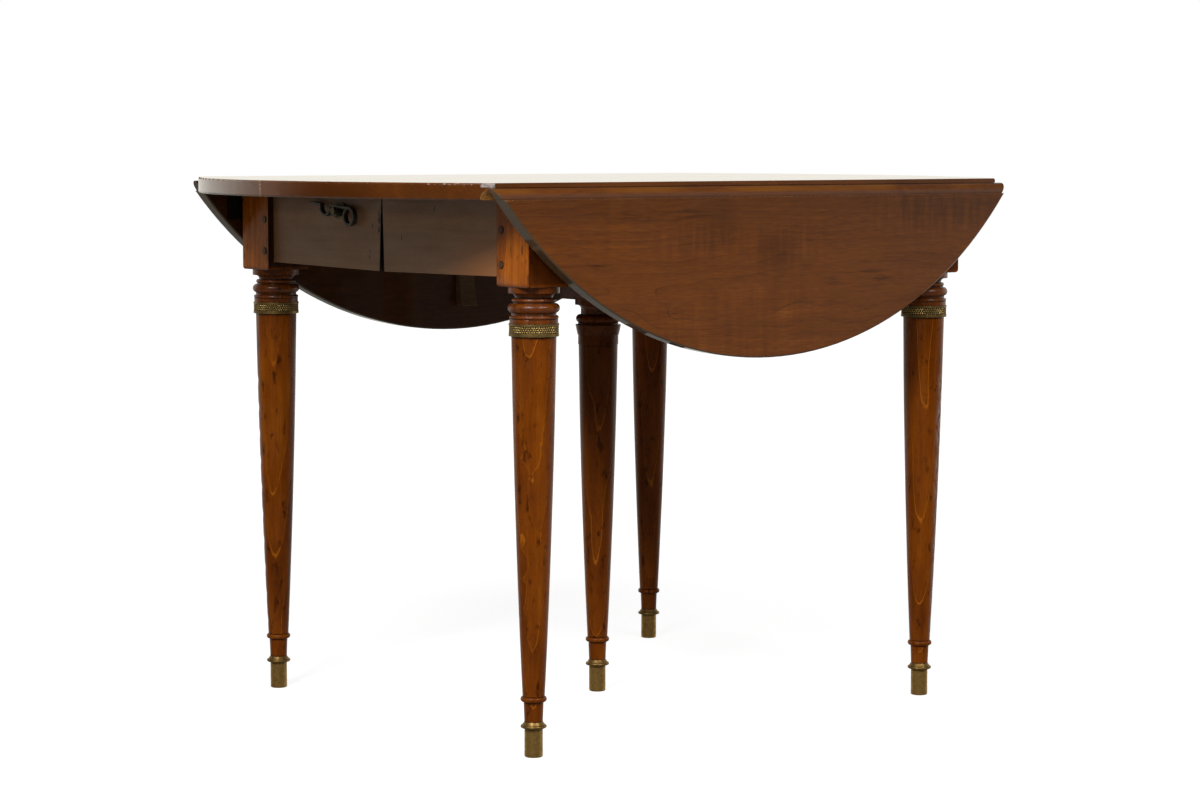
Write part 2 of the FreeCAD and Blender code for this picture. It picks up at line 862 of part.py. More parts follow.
def make_middle_runner(label, side):
    """A runner on the cross beam, with a dovetail groove in each cheek."""
    body = new_body(label)
    middle = side * slide_x
    left = middle - slide_half
    right = middle + slide_half
    z_groove = z_beam + D.runner_height / 2
    depth = D.tongue_depth + D.slide_gap
    mouth = D.tongue_root / 2 + D.slide_gap
    back = D.tongue_tip / 2 + D.slide_gap
    outline = [
        (left, z_beam),
        (right, z_beam),
        (right, z_groove - mouth),
        (right - depth, z_groove - back),
        (right - depth, z_groove + back),
        (right, z_groove + mouth),
        (right, z_runner),
        (left, z_runner),
        (left, z_groove + mouth),
        (left + depth, z_groove + back),
        (left + depth, z_groove - back),
        (left, z_groove - mouth),
    ]
    pad(body, "XZ", [outline], -runner_end, runner_end)
    return body


def half_runner_sides():
    """Inner and outer X of a half's two runners: outside one slide and inside the other."""
    near = slide_half + D.slide_gap
    outside = (slide_x + near, slide_x + near + D.runner_width)
    inside = (-slide_x + near, -slide_x + near + D.runner_width)
    return {"outer": outside, "inner": inside}


def make_half_runner(label, place):
    """A runner fixed to one half, whose dovetail tongue slides in a middle runner."""
    body = new_body(label)
    face, far = half_runner_sides()[place]
    z_tongue = z_beam + D.runner_height / 2
    root = D.tongue_root / 2
    tip = D.tongue_tip / 2
    point = face - D.slide_gap - D.tongue_depth
    bottom = z_beam + D.runner_lift
    top = z_runner - D.runner_drop
    outline = [
        (face, bottom),
        (far, bottom),
        (far, top),
        (face, top),
        (face, z_tongue + root),
        (point, z_tongue + tip),
        (point, z_tongue - tip),
        (face, z_tongue - root),
    ]
    pad(body, "XZ", [outline], -runner_end, rail_in)
    return body


def make_cleats(label):
    """Packing pieces between a half's runners and its top."""
    cleats = []
    bottom = z_runner - D.runner_drop
    low = stop_far + D.cleat_gap
    high = rail_in - D.cleat_inset
    for face, far in half_runner_sides().values():
        cleats.append(block("Cleat", face, far, low, high, bottom, z_under))
    return group(label, cleats)


def make_runner_stops(label):
    """Stop blocks on the free ends of a half's runners."""
    stops = []
    bottom = z_runner - D.runner_drop
    top = bottom + D.stop_height
    high = D.stop_length - runner_end
    for face, far in half_runner_sides().values():
        stops.append(block("Stop", face, far, -runner_end, high, bottom, top))
    return group(label, stops)


def make_slide_stops(label):
    """Stop blocks on the middle runners, over the paths of the half runners' stops."""
    reach = slide_half + D.stop_reach
    top = z_runner + D.stop_height
    stops = []
    for side in (-1, 1):
        middle = side * slide_x
        stops.append(block("Stop", middle, middle + reach, stop_near, stop_far, z_runner, top))
        stops.append(block("Stop", middle - reach, middle, -stop_far, -stop_near, z_runner, top))
    return group(label, stops)


# Hinges

def knuckle_spans(low, high):
    """Three knuckles along a hinge: the outer two on the top, the middle one on the leaf."""
    third = (high - low) / 3
    gap = D.plate_gap / 2
    outer = [(low, low + third - gap), (high - third + gap, high)]
    inner = [(low + third + gap, high - third - gap)]
    return outer, inner


def bore_hinge(body, low, high):
    bore = (joint_line, z_pin, D.hinge_pin_diameter / 2 + D.fit_gap)
    pocket(body, "YZ", [bore], low, high)


def make_top_plates(label):
    """The hinge plates let into the underside of a half top, with their outer knuckles."""
    body = new_body(label)
    knuckle = D.knuckle_diameter / 2
    clear = joint_line - knuckle - D.sweep_gap
    inner = joint_line - D.top_plate_length
    z_high = z_under + D.plate_thick
    spans = hinge_spans()
    pad(body, "XY", [rectangle(low, high, inner, clear) for low, high in spans], z_under, z_high)
    for span in spans:
        for low, high in knuckle_spans(*span)[0]:
            pad(body, "YZ", [rectangle(clear - knuckle, joint_line, z_under, z_high)], low, high)
            pad(body, "YZ", [(joint_line, z_pin, knuckle)], low, high)
        bore_hinge(body, *span)
    heads = [(x, y, D.screw_head_diameter / 2 + D.screw_gap) for x, y in top_screw_places()]
    shanks = [(x, y, D.screw_diameter / 2 + D.screw_gap) for x, y in top_screw_places()]
    pocket(body, "XY", heads, z_under, z_under + D.screw_head_height)
    pocket(body, "XY", shanks, z_under, z_high)
    return body


def make_leaf_plates(label):
    """The hinge plates let into the inside of a hanging leaf, with their middle knuckles."""
    body = new_body(label)
    knuckle = D.knuckle_diameter / 2
    clear = z_pin - knuckle - D.sweep_gap
    end = z_pin - D.leaf_plate_length
    y_far = leaf_in + D.plate_thick
    spans = hinge_spans()
    pad(body, "XZ", [rectangle(low, high, end, clear) for low, high in spans], leaf_in, y_far)
    for span in spans:
        for low, high in knuckle_spans(*span)[1]:
            pad(body, "YZ", [rectangle(leaf_in, y_far, clear - knuckle, z_pin)], low, high)
            pad(body, "YZ", [(joint_line, z_pin, knuckle)], low, high)
        bore_hinge(body, *span)
    heads = [(x, z, D.screw_head_diameter / 2 + D.screw_gap) for x, z in leaf_screw_places()]
    shanks = [(x, z, D.screw_diameter / 2 + D.screw_gap) for x, z in leaf_screw_places()]
    pocket(body, "XZ", heads, leaf_in, leaf_in + D.screw_head_height)
    pocket(body, "XZ", shanks, leaf_in, y_far)
    return body


def make_hinge_pins(label):
    """The pins of a leaf's two hinges."""
    radius = D.hinge_pin_diameter / 2
    pins = []
    for low, high in hinge_spans():
        pins.append(cylinder("Pin", radius, high - low, (low, joint_line, z_pin), (1, 0, 0)))
    return group(label, pins)


def make_screws(label, plane, places, face):
    """Flush-headed screws that hold a pair of hinge plates."""
    body = new_body(label)
    heads = [(x, y, D.screw_head_diameter / 2) for x, y in places]
    shanks = [(x, y, D.screw_diameter / 2) for x, y in places]
    pad(body, plane, heads, face, face + D.screw_head_height)
    pad(body, plane, shanks, face, face + D.screw_length - D.screw_gap)
    return body


# Lopers

loper_left = D.loper_x - D.loper_width / 2
loper_right = D.loper_x + D.loper_width / 2
z_loper = z_under - D.loper_drop
z_loper_low = z_loper - D.loper_height
loper_tip = rail_out - D.loper_recess
loper_peg_y = D.loper_end + D.loper_peg_end


def make_loper(label):
    """The bar that slides out under a raised leaf, with a finger hollow underneath."""
    body = new_body(label)
    bar = rectangle(loper_left, loper_right, D.loper_end, loper_tip)
    pad(body, "XY", [bar], z_loper_low, z_loper)
    high = rail_in - D.loper_recess
    finger = rectangle(loper_left, loper_right, high - D.finger_length, high)
    pocket(body, "XY", [finger], z_loper_low, z_loper_low + D.finger_depth)
    hole = (D.loper_x, loper_peg_y, D.loper_peg_diameter / 2 + D.fit_gap)
    pocket(body, "XY", [hole], z_loper - D.loper_peg_depth, z_loper)
    return body


def make_loper_guide(label):
    """The channel under the top that a loper slides in."""
    body = new_body(label)
    outer_left = loper_left - D.loper_gap - D.guide_wall
    outer_right = loper_right + D.loper_gap + D.guide_wall
    floor = z_loper_low - D.loper_gap
    high = rail_in - D.guide_inset
    channel = rectangle(outer_left, outer_right, floor - D.guide_wall, z_under)
    slot = rectangle(loper_left - D.loper_gap, loper_right + D.loper_gap, floor, z_under)
    pad(body, "XZ", [channel], D.guide_end, high)
    pocket(body, "XZ", [slot], D.guide_end, high)
    return body


def make_loper_stop(label):
    """The peg on top of a loper that keeps it from being pulled right out."""
    base = (D.loper_x, loper_peg_y, z_loper - D.loper_peg_depth)
    length = D.loper_peg_depth + D.loper_peg_height
    peg = cylinder("Peg", D.loper_peg_diameter / 2, length, base, (0, 0, 1))
    return group(label, [peg])


# Finger lever

z_lever = z_under - D.lever_drop
lever_face = -apron_out - D.rose_thick - D.lever_gap
lever_front = lever_face - D.lever_width


def make_rose(label):
    """The long brass rose that the lever turns on, against the apron."""
    body = new_body(label)
    radius = D.rose_diameter / 2
    left = D.lever_y - D.rose_reach
    right = D.lever_y + D.rose_reach
    plate = [
        (left, z_lever - radius, left, z_lever, "anticlockwise"),
        (right, z_lever - radius),
        (right, z_lever + radius, right, z_lever, "anticlockwise"),
        (left, z_lever + radius),
    ]
    hole = (D.lever_y, z_lever, D.pivot_diameter / 2 + D.fit_gap)
    pad(body, "YZ", [plate], -apron_out - D.rose_thick, -apron_out)
    pocket(body, "YZ", [hole], -apron_out - D.rose_thick, -apron_out)
    return body


def make_lever(label):
    """An iron strip bent in waves: finger ring, hub on the rose, hook bend and flat tab."""
    body = new_body(label)
    thick = D.lever_thick
    hub = D.hub_diameter / 2
    ring_y = D.lever_y - D.finger_ring_away
    ring_z = z_lever - D.finger_ring_drop
    ring = D.finger_ring_diameter / 2
    bend_y = D.lever_y + D.bend_away
    bend_z = z_lever + D.bend_rise
    bend = D.bend_diameter / 2
    inner = bend - thick
    strip_top = z_lever + hub
    link = [
        (ring_y, ring_z + ring),
        (ring_y, ring_z + ring - thick),
        (D.lever_y, strip_top - thick),
        (D.lever_y, strip_top),
    ]
    shoulder = [
        (D.lever_y, strip_top),
        (D.lever_y, strip_top - thick),
        (bend_y - inner, bend_z),
        (bend_y - inner, strip_top),
    ]
    hook = [
        (bend_y + bend, bend_z, bend_y, bend_z, "anticlockwise"),
        (bend_y + inner, bend_z),
        (bend_y - inner, bend_z, bend_y, bend_z, "clockwise"),
        (bend_y - bend, bend_z),
    ]
    tab = [
        (bend_y + inner, bend_z),
        (bend_y + bend, bend_z),
        (D.lever_y + D.tab_reach, z_lever + D.tab_rise),
        (D.lever_y + D.tab_reach, z_lever + D.tab_rise + thick),
        (bend_y + inner, bend_z + thick),
    ]
    pad(body, "YZ", [(D.lever_y, z_lever, hub)], lever_front, lever_face)
    pad(body, "YZ", [link], lever_front, lever_face)
    pad(body, "YZ", [(ring_y, ring_z, ring)], lever_front, lever_face)
    pad(body, "YZ", [shoulder], lever_front, lever_face)
    pad(body, "YZ", [hook], lever_front, lever_face)
    pad(body, "YZ", [tab], lever_front, lever_face)
    pocket(body, "YZ", [(ring_y, ring_z, ring - thick)], lever_front, lever_face)
    pivot = (D.lever_y, z_lever, D.pivot_diameter / 2 + D.fit_gap)
    pocket(body, "YZ", [pivot], lever_front, lever_face)
    return body


def make_pivot_screw(label):
    """The screw through the lever and rose into the apron."""
    body = new_body(label)
    head_back = lever_front - D.lever_gap
    head = (D.lever_y, z_lever, D.pivot_head_diameter / 2)
    shank = (D.lever_y, z_lever, D.pivot_diameter / 2)
    pad(body, "YZ", [shank], head_back, -apron_out + D.pivot_depth)
    pad(body, "YZ", [head], head_back - D.pivot_head_height, head_back)
    return body


# Assembly

def make_half(half, turned):
    """All the pieces of one half. The front half is turned half way round."""
    left, right = ("right", "left") if turned else ("left", "right")
    made = {
        "top": make_top,
        "leaf": make_leaf,
        "leaf_wedge": make_wedge,
        "long_rail": make_rail,
        "pegs": make_pegs,
        "runner_cleats": make_cleats,
        "runner_stops": make_runner_stops,
        "hinge_top_plates": make_top_plates,
        "hinge_leaf_plates": make_leaf_plates,
        "hinge_pins": make_hinge_pins,
        "loper": make_loper,
        "loper_guide": make_loper_guide,
        "loper_stop_peg": make_loper_stop,
        "lever_rose": make_rose,
        "finger_lever": make_lever,
        "lever_screw": make_pivot_screw,
    }
    pieces = [(f"{half}_{name}", make(f"{half}_{name}")) for name, make in made.items()]
    for side, word in ((-1, left), (1, right)):
        label = f"{half}_{word}_apron"
        pieces.append((label, make_apron(label, side)))
    for place in ("outer", "inner"):
        label = f"{half}_{place}_runner"
        pieces.append((label, make_half_runner(label, place)))
    label = f"{half}_top_hinge_screws"
    pieces.append((label, make_screws(label, "XY", top_screw_places(), z_under)))
    label = f"{half}_leaf_hinge_screws"
    pieces.append((label, make_screws(label, "XZ", leaf_screw_places(), leaf_in)))
    for label, piece in pieces:
        if turned:
            piece.Placement = HALF_TURN.multiply(piece.Placement)
        name_node(piece, label)


make_half("back", False)
make_half("front", True)

corners = [
    ("back_right", 1, 1, 0),
    ("back_left", -1, 1, 1),
    ("front_left", -1, -1, 2),
    ("front_right", 1, -1, 3),
]
bands = {"back": [], "front": []}
for corner, along, across, quarter in corners:
    x = along * leg_x
    y = across * leg_y
    name_node(make_corner_leg(f"{corner}_leg", x, y, quarter), f"{corner}_leg")
    name_node(make_sabot(f"{corner}_sabot", x, y), f"{corner}_sabot")
    bands[corner.split("_")[0]].append(make_band("Band", x, y))
for half, pair in bands.items():
    name_node(group(f"{half}_leg_bands", pair), f"{half}_leg_bands")

name_node(make_centre_leg("centre_leg"), "centre_leg")
name_node(make_sabot("centre_sabot", ZERO, ZERO), "centre_sabot")
name_node(make_cross_beam("cross_beam"), "cross_beam")
name_node(make_middle_runner("left_middle_runner", -1), "left_middle_runner")
name_node(make_middle_runner("right_middle_runner", 1), "right_middle_runner")
name_node(make_slide_stops("slide_stops"), "slide_stops")

doc.recompute()

# Nothing is written unless every object and every piece came out whole

for item in doc.Objects:
    if "Invalid" in item.State or "Error" in item.State:
        raise RuntimeError(f"{item.Name} ({item.Label}) failed: {item.State}")
for piece in nodes:
    if piece.Shape.isNull() or not piece.Shape.isValid():
        raise RuntimeError(f"{piece.Label} has no valid shape")

os.makedirs("parts", exist_ok=True)
for piece in nodes:
    piece.Shape.exportStep(f"parts/{piece.Label}.step")
    print(piece.Label, len(piece.Shape.Solids), round(piece.Shape.Volume))
print(len(nodes), "pieces")
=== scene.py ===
"""A drop-leaf extending table on five turned legs: its woods, brasses and irons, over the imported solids."""

import math

import bmesh
import bpy
from mathutils import Euler, Matrix, Vector


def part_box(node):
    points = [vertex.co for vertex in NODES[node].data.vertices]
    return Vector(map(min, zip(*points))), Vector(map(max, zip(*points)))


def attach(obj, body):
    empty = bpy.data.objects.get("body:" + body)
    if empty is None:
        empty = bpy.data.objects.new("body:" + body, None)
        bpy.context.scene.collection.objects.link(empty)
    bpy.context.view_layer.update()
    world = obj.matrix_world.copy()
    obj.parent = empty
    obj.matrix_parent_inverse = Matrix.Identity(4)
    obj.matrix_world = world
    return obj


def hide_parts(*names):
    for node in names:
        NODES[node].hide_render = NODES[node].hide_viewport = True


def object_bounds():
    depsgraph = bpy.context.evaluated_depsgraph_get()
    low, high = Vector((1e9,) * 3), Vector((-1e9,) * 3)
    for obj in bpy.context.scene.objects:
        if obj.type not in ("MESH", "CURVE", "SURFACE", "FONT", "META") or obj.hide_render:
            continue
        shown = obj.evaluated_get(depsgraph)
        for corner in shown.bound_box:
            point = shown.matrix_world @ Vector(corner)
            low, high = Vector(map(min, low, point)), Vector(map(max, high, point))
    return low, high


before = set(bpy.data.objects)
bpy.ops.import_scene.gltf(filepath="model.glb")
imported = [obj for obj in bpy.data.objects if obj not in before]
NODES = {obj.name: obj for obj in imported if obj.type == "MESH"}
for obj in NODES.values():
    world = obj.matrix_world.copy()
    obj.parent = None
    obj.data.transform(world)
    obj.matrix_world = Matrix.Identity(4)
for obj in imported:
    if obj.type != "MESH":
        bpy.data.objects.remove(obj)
cad_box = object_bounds()


def middle(node):
    """The middle of a solid's box."""
    low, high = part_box(node)
    return (low + high) / 2


# Where the main pieces stand, read from the solids, in metres.
TOP_RADIUS = cad_box[1].x
TOP_LEVEL = cad_box[1].z
JOINT_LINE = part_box("back_top")[1].y
LEAF_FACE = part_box("back_leaf")[1].y
PIN_LEVEL = middle("back_hinge_pins").z
LEG_X, LEG_Y = middle("back_right_leg").xy
POST_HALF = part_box("back_right_leg")[1].x - LEG_X
APRON_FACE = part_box("back_right_apron")[1].x
APRON_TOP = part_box("back_right_apron")[1].z

# Levels and sizes on the legs. The field is the patterned strip of a band, the collar the ring of a sabot.
POST_FOOT = 0.600
TURNED_LOW = 0.536
PEG_INSET = 0.024
PEG_LEVELS = (0.671, 0.627)
PEG_DIRT_FULL = 0.0048
PEG_DIRT_END = 0.0060
FIELD_LOW = 0.5415
FIELD_HIGH = 0.5507
FIELD_RADIUS = 0.0310
COLLAR_LOW = 0.0345
COLLAR_HIGH = 0.0470

# Limits at the rule joint, from its pin: just outside the cove's face, and just under the ovolo's crown.
COVE_REACH = 0.0146
OVOLO_CROWN = 0.0136

# The raised pattern on a band: lozenges in a row, rows, the step between them, and a lozenge's half sizes.
LOZENGES_AROUND = 60
LOZENGE_ROWS = 3
LOZENGE_ROW_STEP = 0.00285
LOZENGE_HALF = (0.00075, 0.00150, 0.00172)

# How far edges are eased, from which angle an edge is sharp, up to which angle faces are joined as one
# flat face, and how near two points are merged.
BOARD_EDGE = 0.0005
FRAME_EDGE = 0.0006
WEDGE_EDGE = 0.0008
PEG_EDGE = 0.0003
BRASS_EDGE = 0.0003
LEVER_EDGE = 0.0004
SCREW_EDGE = 0.0002
SHARP_ANGLE = math.radians(32)
FLAT_ANGLE = math.radians(0.4)
MERGE_REACH = 2e-6

# How a board's length lies, as a turn that brings it onto the first axis.
ALONG_X = Euler((0, 0, 0))
ALONG_Y = Euler((0, 0, math.radians(-90)))
ALONG_Z = Euler((0, math.radians(90), 0))


# Node trees


def add_node(tree, kind, sockets=None, **settings):
    """A new node with its settings, and its sockets linked or set."""
    node = tree.nodes.new(kind)
    for name, value in settings.items():
        setattr(node, name, value)
    for key, value in (sockets or {}).items():
        fill_socket(tree, node.inputs[key], value)
    return node


def fill_socket(tree, socket, value):
    """Links a socket to another node's output, or sets its value."""
    if isinstance(value, bpy.types.NodeSocket):
        tree.links.new(value, socket)
    else:
        socket.default_value = value


def eased(tree, value, low, high, start=0.0, end=1.0):
    """A value that goes smoothly from start to end between two limits."""
    sockets = {0: value, 1: low, 2: high, 3: start, 4: end}
    return add_node(tree, "ShaderNodeMapRange", sockets, interpolation_type="SMOOTHSTEP").outputs[0]


class Finish:
    """One material's node tree, with short ways to add its nodes."""

    def __init__(self, name):
        self.material = bpy.data.materials.new(name)
        self.material.use_nodes = True
        self.tree = self.material.node_tree
        self.tree.nodes.clear()
        self.shader = self.add("ShaderNodeBsdfPrincipled")
        self.add("ShaderNodeOutputMaterial", {"Surface": self.shader.outputs["BSDF"]})
        self.point = self.add("ShaderNodeTexCoord").outputs["Object"]

    def add(self, kind, sockets=None, **settings):
        return add_node(self.tree, kind, sockets, **settings)

    def put(self, name, value):
        """Links or sets one of the shader's sockets."""
        fill_socket(self.tree, self.shader.inputs[name], value)

    def place(self, turn=ALONG_X, centre=(0, 0, 0), shift=(0, 0, 0)):
        """Object coordinates, turned to a board's own axes about its centre."""
        move = Vector(shift) - turn.to_matrix() @ Vector(centre)
        sockets = {"Vector": self.point, "Rotation": turn, "Location": move}
        return self.add("ShaderNodeMapping", sockets).outputs["Vector"]

    def stretch(self, vector, scale, shift=(0, 0, 0)):
        sockets = {"Vector": vector, "Scale": scale, "Location": shift}
        return self.add("ShaderNodeMapping", sockets).outputs["Vector"]

    def noise(self, vector, scale=1.0, detail=2.0, rough=0.5, output="Fac"):
        sockets = {"Vector": vector, "Scale": scale, "Detail": detail, "Roughness": rough}
        return self.add("ShaderNodeTexNoise", sockets).outputs[output]

    def cells(self, vector, scale):
        sockets = {"Vector": vector, "Scale": scale}
        return self.add("ShaderNodeTexVoronoi", sockets).outputs["Distance"]

    def calc(self, operation, first, second=0.0, third=0.0):
        sockets = {0: first, 1: second, 2: third}
        return self.add("ShaderNodeMath", sockets, operation=operation).outputs[0]

    def times(self, first, *others):
        """The product of factors."""
        total = first
        for factor in others:
            total = self.calc("MULTIPLY", total, factor)
        return total

    def most(self, factors):
        """The largest of some factors."""
        total = factors[0]
        for factor in factors[1:]:
            total = self.calc("MAXIMUM", total, factor)
        return total

    def vector(self, operation, first, second=(0, 0, 0)):
        node = self.add("ShaderNodeVectorMath", {0: first, 1: second}, operation=operation)
        return node.outputs["Value" if operation == "LENGTH" else "Vector"]

    def split(self, vector):
        return self.add("ShaderNodeSeparateXYZ", {0: vector}).outputs

    def join(self, x, y, z):
        return self.add("ShaderNodeCombineXYZ", {0: x, 1: y, 2: z}).outputs[0]

    def ease(self, value, low, high, start=0.0, end=1.0):
        return eased(self.tree, value, low, high, start, end)

    def between(self, value, rise, fall):
        """One between a rising and a falling pair of limits, easing to nothing outside them."""
        return self.times(self.ease(value, *rise), self.ease(value, *reversed(fall)))

    def spot(self, centre, size, soft=0.4):
        """One inside an egg-shaped patch round a point, easing to nothing at its edge."""
        away = self.vector("SUBTRACT", self.point, centre)
        away = self.vector("MULTIPLY", away, tuple(1 / part for part in size))
        return self.ease(self.vector("LENGTH", away), 1.0, 1.0 - soft)

    def ring(self, centre, free_axis, inner, outer):
        """One near the line along an axis through a point, easing to nothing outside."""
        keep = tuple(0.0 if index == free_axis else 1.0 for index in range(3))
        away = self.vector("MULTIPLY", self.vector("SUBTRACT", self.point, centre), keep)
        return self.ease(self.vector("LENGTH", away), outer, inner)

    def ramp(self, value, stops):
        """Colours along a value, each at its stop."""
        node = self.add("ShaderNodeValToRGB", {0: value})
        points = node.color_ramp.elements
        while len(points) < len(stops):
            points.new(1.0)
        for point, (position, colour) in zip(points, stops):
            point.position = position
            point.color = (*colour, 1.0)
        return node.outputs["Color"]

    def mix(self, amount, first, second, blend="MIX"):
        """Two colours, mixed by an amount."""
        first, second = ((*part, 1.0) if isinstance(part, tuple) else part for part in (first, second))
        sockets = {0: amount, 6: first, 7: second}
        return self.add("ShaderNodeMix", sockets, data_type="RGBA", blend_type=blend).outputs[2]

    def bump(self, height, distance):
        sockets = {"Height": height, "Distance": distance}
        return self.add("ShaderNodeBump", sockets).outputs["Normal"]

    def dress(self, colour, rough, normal, others):
        """Joins colour, roughness and relief to the shader, and other values by their sockets' names."""
        for name, value in {"Base Color": colour, "Roughness": rough, "Normal": normal, **others}.items():
            self.put(name, value)
        return self.material


# Woods

LEG_TONES = ((0.0, (0.060, 0.011, 0.0006)), (0.35, (0.136, 0.029, 0.0008)),
             (0.65, (0.200, 0.046, 0.0011)), (1.0, (0.285, 0.082, 0.0030)))
LEAF_TONES = ((0.0, (0.075, 0.020, 0.003)), (0.35, (0.128, 0.035, 0.005)),
              (0.65, (0.170, 0.047, 0.006)), (1.0, (0.238, 0.072, 0.010)))
APRON_TONES = ((0.0, (0.140, 0.070, 0.031)), (0.35, (0.215, 0.106, 0.047)),
               (0.65, (0.265, 0.132, 0.059)), (1.0, (0.330, 0.165, 0.074)))
PLAIN_TONES = ((0.0, (0.060, 0.030, 0.013)), (0.35, (0.100, 0.052, 0.023)),
               (0.65, (0.150, 0.082, 0.038)), (1.0, (0.210, 0.125, 0.062)))
PEG_TONES = ((0.0, (0.030, 0.012, 0.004)), (0.35, (0.055, 0.022, 0.008)),
             (0.65, (0.080, 0.033, 0.012)), (1.0, (0.120, 0.052, 0.020)))
LEAF_LINE = (0.050, 0.016, 0.004)
# Dirt and painted shade: the dark laid on marks, in hollows and gaps, and on shaded faces.
DIRT_AND_SHADE = (0.010, 0.005, 0.002)
RAW = (0.400, 0.185, 0.045)
SCUFF = (0.440, 0.405, 0.380)
# The next four colours: a painted reflection on a leaf's rim, painted light and a painted sheen on its ovolo,
# and a rubbed arris with a painted highlight.
RIM_PAINTED_REFLECTION = (0.080, 0.060, 0.030)
OVOLO_PAINTED_LIGHT = (0.200, 0.068, 0.006)
OVOLO_PAINTED_SHEEN = (0.085, 0.040, 0.024)
RUBBED_ARRIS_HIGHLIGHT = (0.230, 0.130, 0.070)
RIM_SHADE = (0.045, 0.011, 0.001)
RIM_PATCH = (0.070, 0.017, 0.001)
SPLIT_SPECK = (0.500, 0.330, 0.170)
# Painted light on a low patch of an apron.
APRON_PAINTED_LIGHT = (0.330, 0.130, 0.042)
# Painted light: the outer face of a post is made paler than the rest of its leg by these factors.
POST_PAINTED_LIGHT = (2.6, 2.9, 5.0)

# Relief of polished and of plain wood, in metres.
POLISHED_RELIEF = 0.00008
PLAIN_RELIEF = 0.00014

# Levels of the hollows in a corner leg's and a centre leg's turning, with how far dirt and painted shade
# spread from each.
FOOT_HOLLOWS = ((0.0783, 0.0010), (0.0711, 0.0010), (0.0460, 0.0010))
CORNER_HOLLOWS = ((POST_FOOT, 0.0010), (0.5920, 0.0010), (0.5857, 0.0012), (0.5799, 0.0012),
                  (0.5653, 0.0017), (0.5595, 0.0008), (0.5537, 0.0008), (0.5370, 0.0014), *FOOT_HOLLOWS)
CENTRE_HOLLOWS = ((0.4945, 0.0010), *FOOT_HOLLOWS)

# Patches on a leaf's face: how far along, the level, half the width and height, how soft and how strong.
LEAF_STREAKS = ((0.20, 0.690, 0.13, 0.014, 0.8, 1.0), (0.29, 0.628, 0.03, 0.006, 0.8, 1.0),
                (-0.16, 0.600, 0.09, 0.020, 0.9, 1.0))
LEAF_RIPPLES = ((-0.30, 0.690, 0.16, 0.050, 0.8, 1.0), (0.13, 0.655, 0.13, 0.045, 0.9, 0.6),
                (-0.02, 0.645, 0.12, 0.050, 0.9, 0.6))
LEAF_SHADES = ((0.09, 0.690, 0.05, 0.050, 0.9, 1.0), (-0.01, 0.640, 0.05, 0.035, 0.9, 1.0))
PATCH_DEPTH = 0.05

# Worn places: a leaf's chipped corner along the joint, where a top's rim is worn and where it is dark,
# both along and across the table, and where the scuffed end of its lip begins.
LEAF_CHIP = 0.434
RIM_WORN = (0.466, 0.306)
RIM_DARK = (0.535, 0.13)
LIP_END = 0.4360

# Marks on an apron: how far from the split, the level, and half the width and height. The painted shadow in
# the split between two aprons is given by its half width at the top and its growth with depth.
APRON_DENTS = (-0.004, 0.672, 0.007, 0.026)
# Painted light: the place and size of the apron's lit patch.
APRON_LIT_PATCH = (0.25, 0.622, 0.13, 0.050)
APRON_TICKS = ((-0.022, 0.668), (-0.028, 0.634), (-0.029, 0.627), (0.046, 0.655), (0.121, 0.694))
TICK_SIZE = (0.0012, 0.0045)
SPLIT_HALF = 0.0011
SPLIT_FLARE = 0.046


